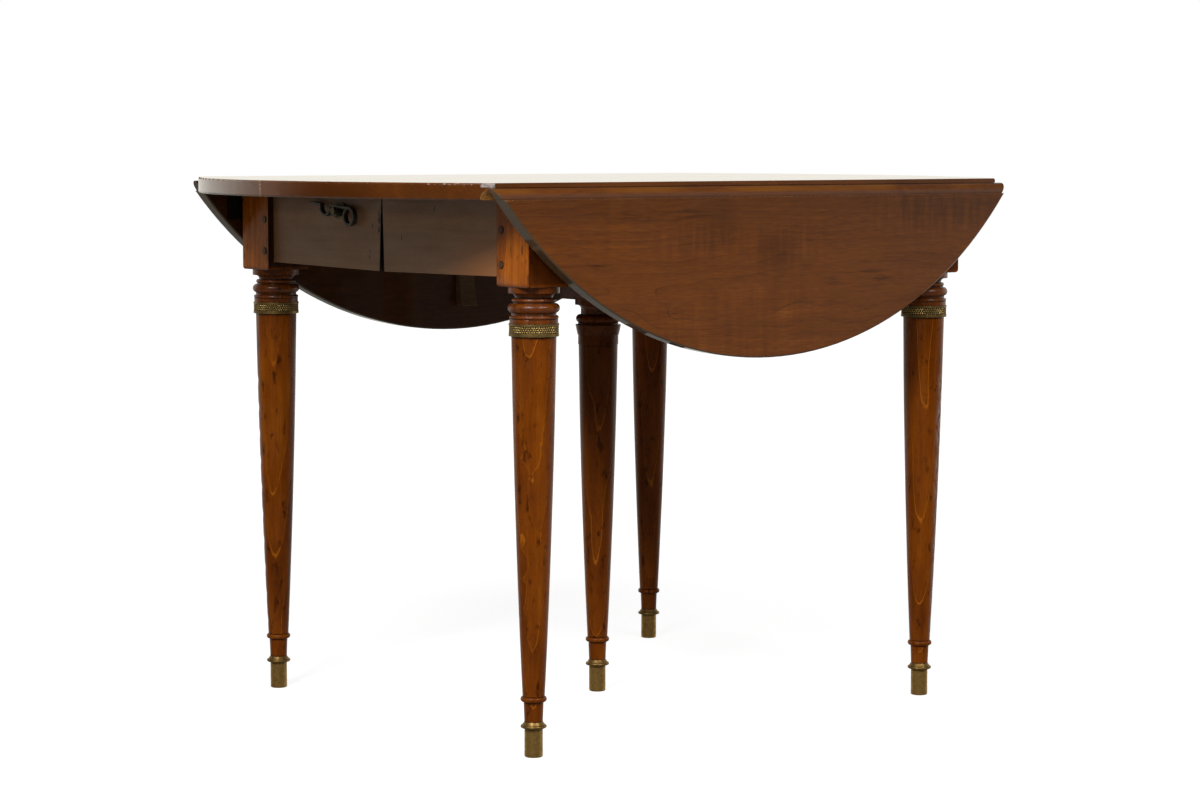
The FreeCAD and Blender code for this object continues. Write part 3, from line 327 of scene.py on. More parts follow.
class Wood(Finish):
    """A polished fruitwood board: thin year lines, fine fibre, clouds, curl and knots.

    The heart is the tree's middle, across and through the board, and lean is its slope along the board.
    Pitch is a year's width and wander is how far the years stray, both in metres. Lines, thin and gaps
    are for the year lines: how strong, how wide and how broken. The rest say how strong each tone is.
    """

    def __init__(self, name, turn, tones, heart, centre=(0, 0, 0), shift=(0, 0, 0), lean=(0.0, 0.0),
                 pitch=0.004, wander=0.016, lines=0.5, season=0.3, cloud=0.45, curl=0.0, knots=0.0,
                 thin=0.5, flow=0.75, gaps=0.38, line_tone=None, fleck=0.2):
        super().__init__(name)
        self.tones = tones
        self.board = self.place(turn, centre, shift)
        self.fibre = self.figure((11, 520, 520), detail=3.0, rough=0.6)
        year = self.year(heart, lean, pitch, wander)
        tone = self.times(self.calc("SUBTRACT", 0.45, self.ease(year, 0.25, 0.85)), season)
        strands = self.figure((2.6, 75, 75), (1.3, 0.2, 0.7), 3.0, 0.55)
        dashes = self.figure((48, 430, 430), (5.0, 0.4, 2.2))
        clouds = self.figure((9, 24, 24), (3.1, 1.7, 0.4), 3.0, 0.55)
        for figure, amount in ((self.fibre, 0.42), (strands, flow), (dashes, fleck), (clouds, 2.2 * cloud)):
            tone = self.calc("MULTIPLY_ADD", self.calc("SUBTRACT", figure, 0.5), amount, tone)
        if curl:
            wave = self.calc("SUBTRACT", self.figure((70, 6, 6)), 0.5)
            where = self.ease(self.figure((4, 6, 6), (0.7, 4.0, 2.0)), 0.45, 0.65)
            tone = self.calc("MULTIPLY_ADD", self.times(wave, where), curl, tone)
        self.colour = self.ramp(self.calc("ADD", tone, 0.5), tones)
        line = self.times(self.ease(year, 1 - 0.32 * thin, 1 - 0.12 * thin),
                          self.ease(year, 1.0, 1 - 0.06 * thin))
        broken = self.ease(self.figure((7, 40, 40), (9.0, 3.0, 1.0)), gaps, gaps + 0.24)
        palest = tones[-1][1]
        self.stain(self.times(line, broken, lines), line_tone or tuple(1.35 * part for part in palest))
        if knots:
            knot = self.figure((45, 110, 110), (6.0, 2.0, 8.0), 3.0, 0.6)
            self.stain(self.ease(knot, 0.57, 0.72, 0.0, knots))
        self.pores = self.ease(self.figure((70, 1300, 1300), detail=1.0), 0.64, 0.74)
        self.stain(self.times(self.pores, 0.45))

    def figure(self, scale, shift=(0, 0, 0), detail=2.0, rough=0.5, output="Fac"):
        """Noise drawn out along the board."""
        return self.noise(self.stretch(self.board, scale, shift), 1.0, detail, rough, output)

    def year(self, heart, lean, pitch, wander):
        """How far a point is through its year, from the tree's heart outwards."""
        drift = self.figure((4.5, 13, 13), rough=0.45, output="Color")
        drift = self.vector("SUBTRACT", drift, (0.5, 0.5, 0.5))
        drift = self.vector("MULTIPLY", drift, (0, wander, wander))
        along, *sideways = self.split(self.vector("ADD", self.board, drift))[0:3]
        across, through = (self.calc("MULTIPLY_ADD", along, slope, self.calc("SUBTRACT", way, start))
                           for way, slope, start in zip(sideways, lean, heart))
        reach = self.vector("LENGTH", self.join(0.0, across, through))
        return self.calc("FRACT", self.calc("DIVIDE", reach, pitch))

    def stain(self, amount, colour=None):
        """Lays a colour over the wood where the amount says, or a deep tone of the wood itself."""
        darkest = self.tones[0][1]
        self.colour = self.mix(amount, self.colour, colour or tuple(0.45 * part for part in darkest))

    def polish(self, rough, relief=POLISHED_RELIEF, uneven=1.0, **others):
        """Rubbed polish: uneven gloss, fibre and pores in relief."""
        rub = self.figure((12, 34, 34), (0.3, 2.2, 5.1), 4.0, 0.6)
        gloss = self.ease(rub, 0.3, 0.75, rough - 0.07 * uneven, rough + 0.10 * uneven)
        height = self.calc("SUBTRACT", self.times(self.fibre, 0.5), self.pores)
        names = {"shine": "Specular IOR Level", "coat": "Coat Weight", "coat_rough": "Coat Roughness"}
        sockets = {names[key]: value for key, value in others.items()}
        return self.dress(self.colour, gloss, self.bump(height, relief), sockets)


def leg_wood(name, x, y):
    """A leg's wood: its heart lies behind, so year lines arch down the front; dirt and painted shade sit in
    the turnings, with more painted shade on the turned rings and the centre leg's upper part.
    """
    wood = Wood(name, ALONG_Z, LEG_TONES, heart=(0.040, -0.032), centre=(x, y, 0.0),
                shift=(3 * x + y, 0, 0), lean=(-0.012, 0.0095), pitch=0.0075, wander=0.020, lines=0.75,
                season=0.12, cloud=0.46, knots=0.75, thin=0.15, gaps=0.26)
    level = wood.split(wood.point)[2]
    turned = wood.between(level, (TURNED_LOW, TURNED_LOW + 0.004), (POST_FOOT, POST_FOOT + 0.002))
    if x:
        # Painted shade: the turned rings are darkened.
        wood.stain(wood.times(turned, 0.25))
        mark_post(wood, level, math.copysign(1, x), math.copysign(1, y))
    else:
        # Painted shade: the centre leg grows darker towards its top, under the table.
        wood.stain(wood.ease(level, 0.22, 0.50, 0.0, 0.5))
    # Dirt and painted shade in the hollows of the turning.
    crevices = []
    for hollow, reach in CORNER_HOLLOWS if x else CENTRE_HOLLOWS:
        away = wood.calc("ABSOLUTE", wood.calc("SUBTRACT", level, hollow))
        crevices.append(wood.ease(away, reach, 0.3 * reach))
    wood.stain(wood.times(wood.most(crevices), 0.7), DIRT_AND_SHADE)
    return wood.polish(0.30, shine=wood.ease(turned, 0.0, 1.0, 0.14, 0.42))


def mark_post(wood, level, side, sign):
    """A corner post: painted light on its outer face, painted shade behind the leaf and on its inner sides,
    dirt round the pegs.
    """
    x, y = wood.split(wood.point)[0:2]
    across, deep = wood.times(x, side), wood.times(y, sign)
    post = wood.ease(level, POST_FOOT, POST_FOOT + 0.006)
    outer_low, outer_high = POST_HALF - 0.0009, POST_HALF - 0.0003
    # Painted light on the outer face: most at its foot, less under the top, where painted shade stands for
    # the top's shadow.
    lit = wood.times(wood.ease(across, LEG_X + outer_low, LEG_X + outer_high),
                     wood.ease(level, 0.705, 0.625, 0.35, 0.7))
    wood.colour = wood.mix(wood.times(lit, post), wood.colour, POST_PAINTED_LIGHT, "MULTIPLY")
    # Painted shade: the face behind the leaf is darkened.
    covered = wood.ease(deep, LEG_Y + outer_low, LEG_Y + outer_high, 0.0, 0.6)
    wood.stain(wood.times(covered, post))
    # Painted shade on the post's inner sides.
    inner_low, inner_high = POST_HALF - 0.0005, POST_HALF - 0.0001
    inner = [wood.ease(way, leg - inner_low, leg - inner_high)
             for way, leg in ((across, LEG_X), (deep, LEG_Y))]
    wood.stain(wood.times(wood.most(inner), post, 0.85), DIRT_AND_SHADE)
    peg_x, peg_y = side * (LEG_X - PEG_INSET), sign * (LEG_Y - PEG_INSET)
    pegs = [wood.ring((0, peg_y, z), 0, PEG_DIRT_FULL, PEG_DIRT_END) for z in PEG_LEVELS]
    pegs += [wood.ring((peg_x, 0, z), 1, PEG_DIRT_FULL, PEG_DIRT_END) for z in PEG_LEVELS]
    wood.stain(wood.most(pegs), DIRT_AND_SHADE)


def leaf_wood(name, sign):
    """A hanging leaf's wood: one wide board, its heart behind the face, with curl towards one end."""
    wood = Wood(name, ALONG_X, LEAF_TONES, heart=(sign * 0.27, 0.585), shift=(sign * 0.2, 0, 0),
                pitch=0.0062, wander=0.034, lines=0.42, season=0.09, cloud=0.24, curl=0.8, thin=0.26,
                flow=0.40, gaps=0.34, fleck=0.75, line_tone=LEAF_LINE)
    mark_leaf_face(wood, sign)
    mark_leaf_edges(wood, sign)
    return wood.polish(0.42, shine=0.15, coat=0.9, coat_rough=0.03)


def mark_leaf_face(wood, sign):
    """Dark streaks, ripples across the grain and shaded patches on a leaf's face."""

    def covered(patches):
        spots = []
        for along, level, width, height, soft, strength in patches:
            centre = (sign * along, sign * LEAF_FACE, level)
            spots.append(wood.times(wood.spot(centre, (width, PATCH_DEPTH, height), soft), strength))
        return wood.most(spots)

    streak = wood.ease(wood.figure((14, 90, 160), (2.0, 5.0, 1.0), 3.0, 0.6), 0.45, 0.65)
    wood.stain(wood.times(streak, covered(LEAF_STREAKS), 0.85))
    ripple = wood.ease(wood.figure((80, 5, 9), (1.0, 2.0, 7.0)), 0.40, 0.60)
    wood.stain(wood.times(ripple, covered(LEAF_RIPPLES), 0.42))
    wood.stain(wood.times(covered(LEAF_SHADES), 0.30))


def mark_leaf_edges(wood, sign):
    """A leaf's painted shade towards one end and near its top, a painted reflection on its rim, dirt and
    painted shade on its inner face, and its ovolo with painted light, a painted shadow under the lip, a
    painted sheen, the ledge and the arris below.
    """
    x, y, z = wood.split(wood.point)[0:3]
    out = wood.times(y, sign)
    # Painted shade towards one end of the leaf.
    wood.stain(wood.ease(wood.times(x, sign), 0.12, -0.44, 0.0, 0.20))
    under_joint = wood.ease(z, PIN_LEVEL, PIN_LEVEL - 0.001)
    # Painted shade, darker towards the top of the leaf's face.
    wood.stain(wood.times(wood.ease(z, 0.645, 0.705, 0.0, 0.34), under_joint))
    # Painted reflection on the leaf's rim.
    rim = wood.vector("SUBTRACT", wood.point, (0, 0, PIN_LEVEL + JOINT_LINE))
    rim = wood.vector("LENGTH", wood.vector("MULTIPLY", rim, (1, 0, 1)))
    wood.stain(wood.ease(rim, TOP_RADIUS - 0.0021, TOP_RADIUS - 0.0014, 0.0, 0.8), RIM_PAINTED_REFLECTION)
    # Dirt and painted shade on the leaf's inner face.
    wood.stain(wood.ease(out, JOINT_LINE + 0.0004, JOINT_LINE - 0.0006, 0.0, 0.6), DIRT_AND_SHADE)
    swell = wood.ease(z, PIN_LEVEL + 0.004, PIN_LEVEL + 0.008)
    warm = wood.ease(wood.figure((7, 20, 20), (4.0, 1.0, 2.0)), 0.40, 0.60, 0.0, 0.6)
    wood.stain(wood.ease(z, PIN_LEVEL, PIN_LEVEL + 0.002, 0.0, 0.18))
    # Painted light on the upper part of the ovolo.
    wood.stain(wood.times(swell, warm), OVOLO_PAINTED_LIGHT)
    crown = PIN_LEVEL + OVOLO_CROWN
    # Painted shadow under the top's lip, along the ovolo's crown.
    wood.stain(wood.ease(z, crown - 0.0010, crown, 0.0, 0.8), DIRT_AND_SHADE)
    # A painted sheen on the foot of the ovolo.
    foot = wood.between(z, (PIN_LEVEL - 0.0004, PIN_LEVEL), (PIN_LEVEL + 0.003, PIN_LEVEL + 0.008))
    wood.stain(wood.times(foot, 0.45), OVOLO_PAINTED_SHEEN)
    # Dirt and painted shade in the ledge's corner.
    ledge = wood.between(z, (PIN_LEVEL - 0.0008, PIN_LEVEL - 0.0004),
                         (PIN_LEVEL + 0.0006, PIN_LEVEL + 0.0014))
    behind_face = wood.ease(out, LEAF_FACE - 0.0014, LEAF_FACE - 0.0020, 0.0, 0.35)
    wood.stain(wood.times(ledge, behind_face), DIRT_AND_SHADE)
    grit = wood.noise(wood.stretch(wood.point, (300, 300, 500)), 1.0, 3.0, 0.65)
    # A rubbed arris with a painted highlight.
    arris = wood.spot((0.0, sign * LEAF_FACE, PIN_LEVEL - 0.0006), (2.0, 0.0016, 0.0011), 0.6)
    wood.stain(wood.times(arris, wood.ease(grit, 0.46, 0.66, 0.0, 0.5)), RUBBED_ARRIS_HIGHLIGHT)
    corner = wood.spot((sign * LEAF_CHIP, sign * LEAF_FACE, PIN_LEVEL - 0.0008), (0.012, 0.004, 0.0020))
    wood.stain(wood.times(corner, wood.ease(grit, 0.44, 0.54)), RAW)


def top_wood(name, sign):
    """A half top's wood: a deep polish that mirrors at a low angle, with nicks and scuffs along its rim."""
    wood = Wood(name, ALONG_X, LEAF_TONES, heart=(sign * 0.17, 0.62), shift=(0.4 * sign, 0, 0),
                pitch=0.0062, wander=0.022, lines=0.35, season=0.08, cloud=0.4, curl=0.9, thin=0.45)
    mark_top_edges(wood, sign)
    level = wood.split(wood.point)[2]
    coat_rough = wood.ease(level, TOP_LEVEL - 0.0020, TOP_LEVEL - 0.0004, 0.14, 0.02)
    return wood.polish(0.30, uneven=0.25, shine=0.15, coat=1.0, coat_rough=coat_rough)


def mark_top_edges(wood, sign):
    """A half top's dark rim, the nicks on its arris, its scuffed lip, bare cove and the pale split."""
    x, y, z = wood.split(wood.point)[0:3]
    side, deep = wood.times(x, sign), wood.times(y, sign)
    grit = wood.noise(wood.stretch(wood.point, (260, 260, 420)), 1.0, 3.0, 0.65)
    from_middle = wood.vector("LENGTH", wood.join(x, y, 0.0))
    out = wood.ease(from_middle, TOP_RADIUS - 0.0030, TOP_RADIUS - 0.0012)
    under_face = wood.ease(z, TOP_LEVEL - 0.0006, TOP_LEVEL - 0.0020, 0.0, 0.5)
    wood.stain(wood.times(out, under_face), RIM_SHADE)
    patch = wood.spot((sign * RIM_DARK[0], sign * RIM_DARK[1], PIN_LEVEL), (0.08, 0.12, 0.03), 0.8)
    wood.stain(wood.times(out, patch), RIM_PATCH)
    arris = wood.between(z, (TOP_LEVEL - 0.0034, TOP_LEVEL - 0.0020), (TOP_LEVEL - 0.0004, TOP_LEVEL))
    worn = wood.spot((sign * RIM_WORN[0], sign * RIM_WORN[1], TOP_LEVEL), (0.045, 0.05, 0.02), 0.5)
    nicks = wood.times(wood.ease(grit, 0.54, 0.62), worn, arris, out)
    edge = wood.ease(deep, JOINT_LINE - 0.0010, JOINT_LINE + 0.0005, 0.0, 0.4)
    wood.stain(wood.times(edge, wood.ease(z, TOP_LEVEL - 0.0004, TOP_LEVEL - 0.0012)))
    lip = wood.times(wood.ease(deep, JOINT_LINE - 0.0150, JOINT_LINE - 0.0135),
                     wood.ease(side, LIP_END, LIP_END + 0.0025),
                     wood.ease(z, PIN_LEVEL + 0.0142, PIN_LEVEL + 0.0150))
    scuff = wood.times(lip, wood.ease(grit, 0.34, 0.60, 0.35, 1.0), 0.8)
    wood.stain(wood.most([nicks, scuff]), SCUFF)
    from_pin = wood.join(0.0, wood.calc("SUBTRACT", deep, JOINT_LINE), wood.calc("SUBTRACT", z, PIN_LEVEL))
    cove = wood.times(wood.ease(wood.vector("LENGTH", from_pin), COVE_REACH + 0.0003, COVE_REACH),
                      wood.ease(z, PIN_LEVEL + 0.0144, PIN_LEVEL + 0.0130))
    wood.stain(wood.times(cove, wood.ease(grit, 0.30, 0.62, 0.45, 1.0)), RAW)
    split = wood.ease(wood.calc("ABSOLUTE", y), 0.0021, 0.0011)
    wood.stain(wood.times(split, wood.ease(grit, 0.46, 0.56), out), SPLIT_SPECK)


def apron_wood(name, side):
    """An end apron's wood, dull and darkened, with dents by the split, a few dark ticks, painted shadow in
    the split and under the top, and a patch of painted light.
    """
    wood = Wood(name, ALONG_Y, APRON_TONES, heart=(-side * 0.27, 0.655), shift=(0.3 * side, 0, 0),
                pitch=0.0062, lines=0.10, season=0.05, cloud=0.22)

    def patch(away, level, width, height, soft=0.4):
        return wood.spot((side * APRON_FACE, side * away, level), (PATCH_DEPTH, width, height), soft)

    rough = wood.noise(wood.stretch(wood.point, (200, 420, 110), (1.0, 2.0, 3.0)), 1.0, 3.0, 0.6)
    dents = wood.times(wood.ease(rough, 0.46, 0.60), patch(*APRON_DENTS))
    ticks = [patch(away, level, *TICK_SIZE) for away, level in APRON_TICKS]
    y, z = wood.split(wood.point)[1:3]
    # Painted shadow in the split between the aprons.
    split_shadow = wood.calc("MULTIPLY_ADD", wood.calc("SUBTRACT", APRON_TOP, z), SPLIT_FLARE, SPLIT_HALF)
    split_shadow = wood.ease(wood.calc("SUBTRACT", wood.calc("ABSOLUTE", y), split_shadow), 0.0006, 0.0)
    wood.stain(wood.most([dents, split_shadow] + ticks), DIRT_AND_SHADE)
    # Painted shadow of the top's overhang, darker towards the apron's top.
    wood.stain(wood.ease(z, 0.676, 0.712, 0.0, 0.5), DIRT_AND_SHADE)
    # Painted light on a low patch of the apron.
    wood.stain(patch(*APRON_LIT_PATCH, 0.9), APRON_PAINTED_LIGHT)
    return wood.polish(0.44, shine=0.30)


def plain_wood(name, turn, tones, rough, shine, lines=0.35, season=0.3):
    """Plainer wood for rails, pegs and the unpolished pieces inside."""
    wood = Wood(name, turn, tones, heart=(0.16, 0.45), lines=lines, season=season, cloud=0.4)
    return wood.polish(rough, PLAIN_RELIEF, shine=shine)


# Metals

RUST = (0.085, 0.042, 0.024)
BRASS_RELIEF = 0.00008
IRON_RELIEF = 0.00012


def brass(name, bright, dull, dark, rough, shaded=None):
    """Old brass: rubbed bright in places, dull and spotted elsewhere, and darker between two levels."""
    metal = Finish(name)
    cloud = metal.noise(metal.point, 160.0, 4.0, 0.6)
    spots = metal.noise(metal.stretch(metal.point, (1, 1, 1), (4.0, 1.0, 2.0)), 520.0, 3.0, 0.6)
    streak = metal.noise(metal.stretch(metal.point, (900, 900, 70)))
    colour = metal.ramp(cloud, ((0.32, dull), (0.62, bright), (0.8, bright)))
    colour = metal.mix(metal.ease(spots, 0.58, 0.74, 0.0, 0.8), colour, dark)
    if shaded:
        low, high, amount = shaded
        level = metal.split(metal.point)[2]
        within = metal.between(level, (low, low + 0.0004), (high - 0.0004, high))
        colour = metal.mix(metal.times(within, amount), colour, dark)
    gloss = metal.ease(cloud, 0.3, 0.75, rough + 0.14, rough - 0.06)
    height = metal.calc("MULTIPLY_ADD", streak, 0.4, spots)
    return metal.dress(colour, gloss, metal.bump(height, BRASS_RELIEF), {"Metallic": 0.85})


def iron(name, dark, light, rough):
    """Forged iron, dark and a little pitted, with rust in its hollows."""
    metal = Finish(name)
    scale = metal.noise(metal.point, 240.0, 5.0, 0.65)
    pits = metal.cells(metal.point, 700.0)
    colour = metal.ramp(scale, ((0.3, dark), (0.6, light), (0.78, RUST)))
    gloss = metal.ease(scale, 0.3, 0.7, rough - 0.1, rough + 0.15)
    height = metal.calc("MULTIPLY_ADD", metal.ease(pits, 0.0, 0.5), 0.5, scale)
    return metal.dress(colour, gloss, metal.bump(height, IRON_RELIEF), {"Metallic": 0.6})


# Pieces


def show(name, mesh):
    """A new object in the scene."""
    piece = bpy.data.objects.new(name, mesh)
    bpy.context.scene.collection.objects.link(piece)
    return piece


def own_copy(node):
    """A merged copy of a solid's mesh, with its flat faces joined."""
    mesh = NODES[node].data.copy()
    mesh.name = node + "_piece"
    work = bmesh.new()
    work.from_mesh(mesh)
    bmesh.ops.remove_doubles(work, verts=work.verts, dist=MERGE_REACH)
    bmesh.ops.dissolve_limit(work, angle_limit=FLAT_ANGLE, verts=work.verts, edges=work.edges)
    work.to_mesh(mesh)
    work.free()
    mesh.materials.clear()
    return mesh


def dressed(node, body, material, edge=FRAME_EDGE, flat=False):
    """A solid's own shape with eased edges and a finish, which stands for the solid."""
    mesh = own_copy(node)
    mesh.materials.append(material)
    mesh.shade_smooth()
    mesh.set_sharp_from_angle(angle=SHARP_ANGLE)
    piece = show(node + "_piece", mesh)
    rounding = piece.modifiers.new("eased_edges", "BEVEL")
    rounding.width = edge
    rounding.segments = 2
    rounding.limit_method = "ANGLE"
    rounding.angle_limit = SHARP_ANGLE
    rounding.harden_normals = True
    if flat:
        even = piece.modifiers.new("flat_faces", "WEIGHTED_NORMAL")
        even.mode = "FACE_AREA"
        even.weight = 100
        even.keep_sharp = True
    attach(piece, body)
    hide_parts(node)


def give(names, material):
    """Gives solids that stay as they are their finish."""
    for name in names:
        NODES[name].data.materials.clear()
        NODES[name].data.materials.append(material)


# Band pattern


def lattice_tree(material):
    """A tree that sets raised lozenges in staggered rows around the two bands of one half."""
    tree = bpy.data.node_groups.new("band_lozenges", "GeometryNodeTree")
    tree.interface.new_socket("Geometry", in_out="INPUT", socket_type="NodeSocketGeometry")
    for name, kind in (("Around", "Int"), ("Rows", "Int"), ("Radius", "Float"), ("Level", "Float"),
                       ("Row Step", "Float"), ("Leg X", "Float"), ("Leg Y", "Float"),
                       ("Lozenge", "Vector")):
        tree.interface.new_socket(name, in_out="INPUT", socket_type="NodeSocket" + kind)
    tree.interface.new_socket("Geometry", in_out="OUTPUT", socket_type="NodeSocketGeometry")
    given = add_node(tree, "NodeGroupInput").outputs

    def calc(operation, first, second=0.0, third=0.0):
        sockets = {0: first, 1: second, 2: third}
        return add_node(tree, "ShaderNodeMath", sockets, operation=operation).outputs[0]

    around, rows, radius = given["Around"], given["Rows"], given["Radius"]
    each = calc("MULTIPLY", around, rows)
    index = add_node(tree, "GeometryNodeInputIndex").outputs[0]
    leg = calc("FLOOR", calc("DIVIDE", calc("ADD", index, 0.5), each))
    within = calc("SUBTRACT", index, calc("MULTIPLY", leg, each))
    row = calc("FLOOR", calc("DIVIDE", calc("ADD", within, 0.5), around))
    step = calc("MULTIPLY_ADD", row, 0.5, calc("SUBTRACT", within, calc("MULTIPLY", row, around)))
    angle = calc("MULTIPLY", calc("DIVIDE", step, around), 2 * math.pi)
    side = calc("MULTIPLY_ADD", leg, 2.0, -1.0)
    x = calc("MULTIPLY_ADD", side, given["Leg X"], calc("MULTIPLY", calc("COSINE", angle), radius))
    y = calc("MULTIPLY_ADD", calc("SINE", angle), radius, given["Leg Y"])
    middle_row = calc("MULTIPLY", calc("SUBTRACT", rows, 1.0), 0.5)
    z = calc("MULTIPLY_ADD", calc("SUBTRACT", row, middle_row), given["Row Step"], given["Level"])
    place = add_node(tree, "ShaderNodeCombineXYZ", {0: x, 1: y, 2: z}).outputs[0]
    turn = add_node(tree, "ShaderNodeCombineXYZ", {2: angle}).outputs[0]
    both_bands = calc("MULTIPLY", each, 2.0)
    points = add_node(tree, "GeometryNodePoints", {"Count": both_bands, "Position": place}).outputs[0]
    stud = add_node(tree, "GeometryNodeMeshUVSphere", {"Segments": 4, "Rings": 2, "Radius": 1.0}).outputs[0]
    sockets = {"Points": points, "Instance": stud, "Rotation": turn, "Scale": given["Lozenge"]}
    studs = add_node(tree, "GeometryNodeInstanceOnPoints", sockets).outputs[0]
    solid = add_node(tree, "GeometryNodeRealizeInstances", {0: studs}).outputs[0]
    done = add_node(tree, "GeometryNodeSetMaterial", {"Geometry": solid, "Material": material}).outputs[0]
    add_node(tree, "NodeGroupOutput", {0: done})
    return tree


def band_pattern(tree, half, y):
    """The raised lozenges on one half's bands, made a plain mesh."""
    seed = show("seed", bpy.data.meshes.new("seed"))
    sizes = {"Around": LOZENGES_AROUND, "Rows": LOZENGE_ROWS, "Radius": FIELD_RADIUS,
             "Level": (FIELD_LOW + FIELD_HIGH) / 2, "Row Step": LOZENGE_ROW_STEP, "Leg X": LEG_X,
             "Leg Y": y, "Lozenge": LOZENGE_HALF}
    modifier = seed.modifiers.new("lozenges", "NODES")
    modifier.node_group = tree
    for item in tree.interface.items_tree:
        if item.in_out == "INPUT" and item.name in sizes:
            modifier[item.identifier] = sizes[item.name]
    shown = seed.evaluated_get(bpy.context.evaluated_depsgraph_get())
    mesh = bpy.data.meshes.new_from_object(shown)
    bpy.data.objects.remove(seed)
    piece = show(half + "_band_pattern", mesh)
    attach(piece, half + "_half")


# The table

rail_wood = plain_wood("rail_wood", ALONG_X, APRON_TONES, 0.45, 0.35)
peg_wood = plain_wood("peg_wood", ALONG_X, PEG_TONES, 0.45, 0.35)
inner_across = plain_wood("inner_wood_across", ALONG_X, PLAIN_TONES, 0.68, 0.25)
inner_along = plain_wood("inner_wood_along", ALONG_Y, PLAIN_TONES, 0.68, 0.25)
wedge_wood = plain_wood("wedge_wood", ALONG_X, PLAIN_TONES, 0.6, 0.25, 0.05, 0.06)
apron_woods = {"left": apron_wood("apron_wood_left", -1), "right": apron_wood("apron_wood_right", 1)}
dark_brass = brass("dark_brass", (0.17, 0.125, 0.045), (0.085, 0.062, 0.022), (0.022, 0.016, 0.007), 0.44)
band_brass = brass("band_brass", (0.28, 0.185, 0.062), (0.17, 0.108, 0.034), (0.030, 0.019, 0.007), 0.44,
                   (FIELD_LOW, FIELD_HIGH, 0.8))
sabot_brass = brass("sabot_brass", (0.52, 0.31, 0.090), (0.32, 0.185, 0.052), (0.045, 0.026, 0.009), 0.38,
                    (COLLAR_LOW, COLLAR_HIGH, 0.45))
lozenge_brass = brass("lozenge_brass", (0.40, 0.27, 0.095), (0.27, 0.175, 0.058), (0.080, 0.050, 0.018),
                      0.46)
forged_iron = iron("forged_iron", (0.022, 0.019, 0.014), (0.070, 0.060, 0.043), 0.40)
black_iron = iron("black_iron", (0.006, 0.005, 0.004), (0.018, 0.015, 0.012), 0.55)
worn_iron = iron("worn_iron", (0.040, 0.034, 0.013), (0.125, 0.105, 0.042), 0.42)
lozenges = lattice_tree(lozenge_brass)

HINGE_PARTS = ("hinge_top_plates", "hinge_leaf_plates", "hinge_pins", "top_hinge_screws",
               "leaf_hinge_screws")
CROSSING_PARTS = ("runner_cleats", "runner_stops")
SLIDING_PARTS = ("loper", "loper_guide", "loper_stop_peg", "outer_runner", "inner_runner")
inner_finishes = ((HINGE_PARTS, black_iron), (CROSSING_PARTS, inner_across), (SLIDING_PARTS, inner_along))

for half, sign in (("back", 1), ("front", -1)):
    body = half + "_half"
    leaf = half + "_leaf"
    dressed(half + "_top", body, top_wood("top_wood_" + half, sign), BOARD_EDGE, flat=True)
    dressed(leaf, leaf, leaf_wood("leaf_wood_" + half, sign), BOARD_EDGE, flat=True)
    dressed(half + "_long_rail", body, rail_wood)
    dressed(half + "_leaf_wedge", leaf, wedge_wood, WEDGE_EDGE)
    dressed(half + "_pegs", body, peg_wood, PEG_EDGE)
    dressed(half + "_leg_bands", body, band_brass, BRASS_EDGE)
    dressed(half + "_lever_rose", body, dark_brass, BRASS_EDGE)
    dressed(half + "_finger_lever", half + "_lever", forged_iron, LEVER_EDGE)
    dressed(half + "_lever_screw", body, worn_iron, SCREW_EDGE)
    band_pattern(lozenges, half, sign * LEG_Y)
    for side, x in (("left", -LEG_X), ("right", LEG_X)):
        corner = "%s_%s_" % (half, side)
        dressed(corner + "leg", body, leg_wood(corner + "leg_wood", x, sign * LEG_Y))
        dressed(corner + "apron", body, apron_woods[side])
        dressed(corner + "sabot", body, sabot_brass, BRASS_EDGE)
    for parts, material in inner_finishes:
        give([half + "_" + part for part in parts], material)
dressed("centre_leg", "centre_frame", leg_wood("centre_leg_wood", 0.0, 0.0))
dressed("centre_sabot", "centre_frame", sabot_brass, BRASS_EDGE)
give(("cross_beam", "slide_stops"), inner_across)
give(("left_middle_runner", "right_middle_runner"), inner_along)


# Floor, light and camera

FLOOR_RADIUS = 14.0
FLOOR_DROP = 0.0005
FLOOR_GREY = (0.40, 0.40, 0.40, 1)
# The floor's own glow to the camera: dimmer near the table, so that its shadow shows.
GLOW_NEAR = 0.5
GLOW_FAR = 3.0
GLOW_DIM = 0.86

FILL_GREY = (0.17, 0.17, 0.17, 1)
ROOM_CREAM = (0.90, 0.87, 0.79, 1)
ROOM_WHITE = (1, 1, 1, 1)
# The way to the bright side of the room that the polish mirrors, and how bright its other parts are.
BRIGHT_SIDE = (0.70, 0.70, 0.10)
DARK_SIDE_LEVEL = 0.02
CEILING_LEVEL = 0.05
GROUND_LEVEL = 0.25
# Between which parts of a direction the room's sides, ceiling and ground ease into each other.
SIDE_FADE = (-0.27, 0.60)
CEILING_FADE = (0.2, 0.7)
GROUND_FADE = (-0.16, -0.34)

LAMP_SIZE = 1.2
LAMP_TARGET = (0, 0, 0.45)
# Each lamp's place and power in watts.
LAMPS = {"lamp_left": ((-3.02, -1.57, 2.9), 116), "lamp_right": ((0.09, -3.4, 2.9), 68)}

# The photograph's camera: where it stood in metres, how it was turned in degrees, and its lens and
# sensor in millimetres.
CAMERA_STAND = (-2.58303, -3.24388, 0.78808)
CAMERA_YAW = 38.569
CAMERA_PITCH = 5.121
CAMERA_ROLL = 0.149
CAMERA_LENS = 88.19
CAMERA_SENSOR = 36.0
CAMERA_REACH = 60.0


def light_split(tree, kinds):
    """A factor that is one on the named kinds of ray."""
    path = add_node(tree, "ShaderNodeLightPath").outputs
    total = path[kinds[0]]
    for kind in kinds[1:]:
        total = add_node(tree, "ShaderNodeMath", {0: total, 1: path[kind]}, operation="MAXIMUM").outputs[0]
    return total


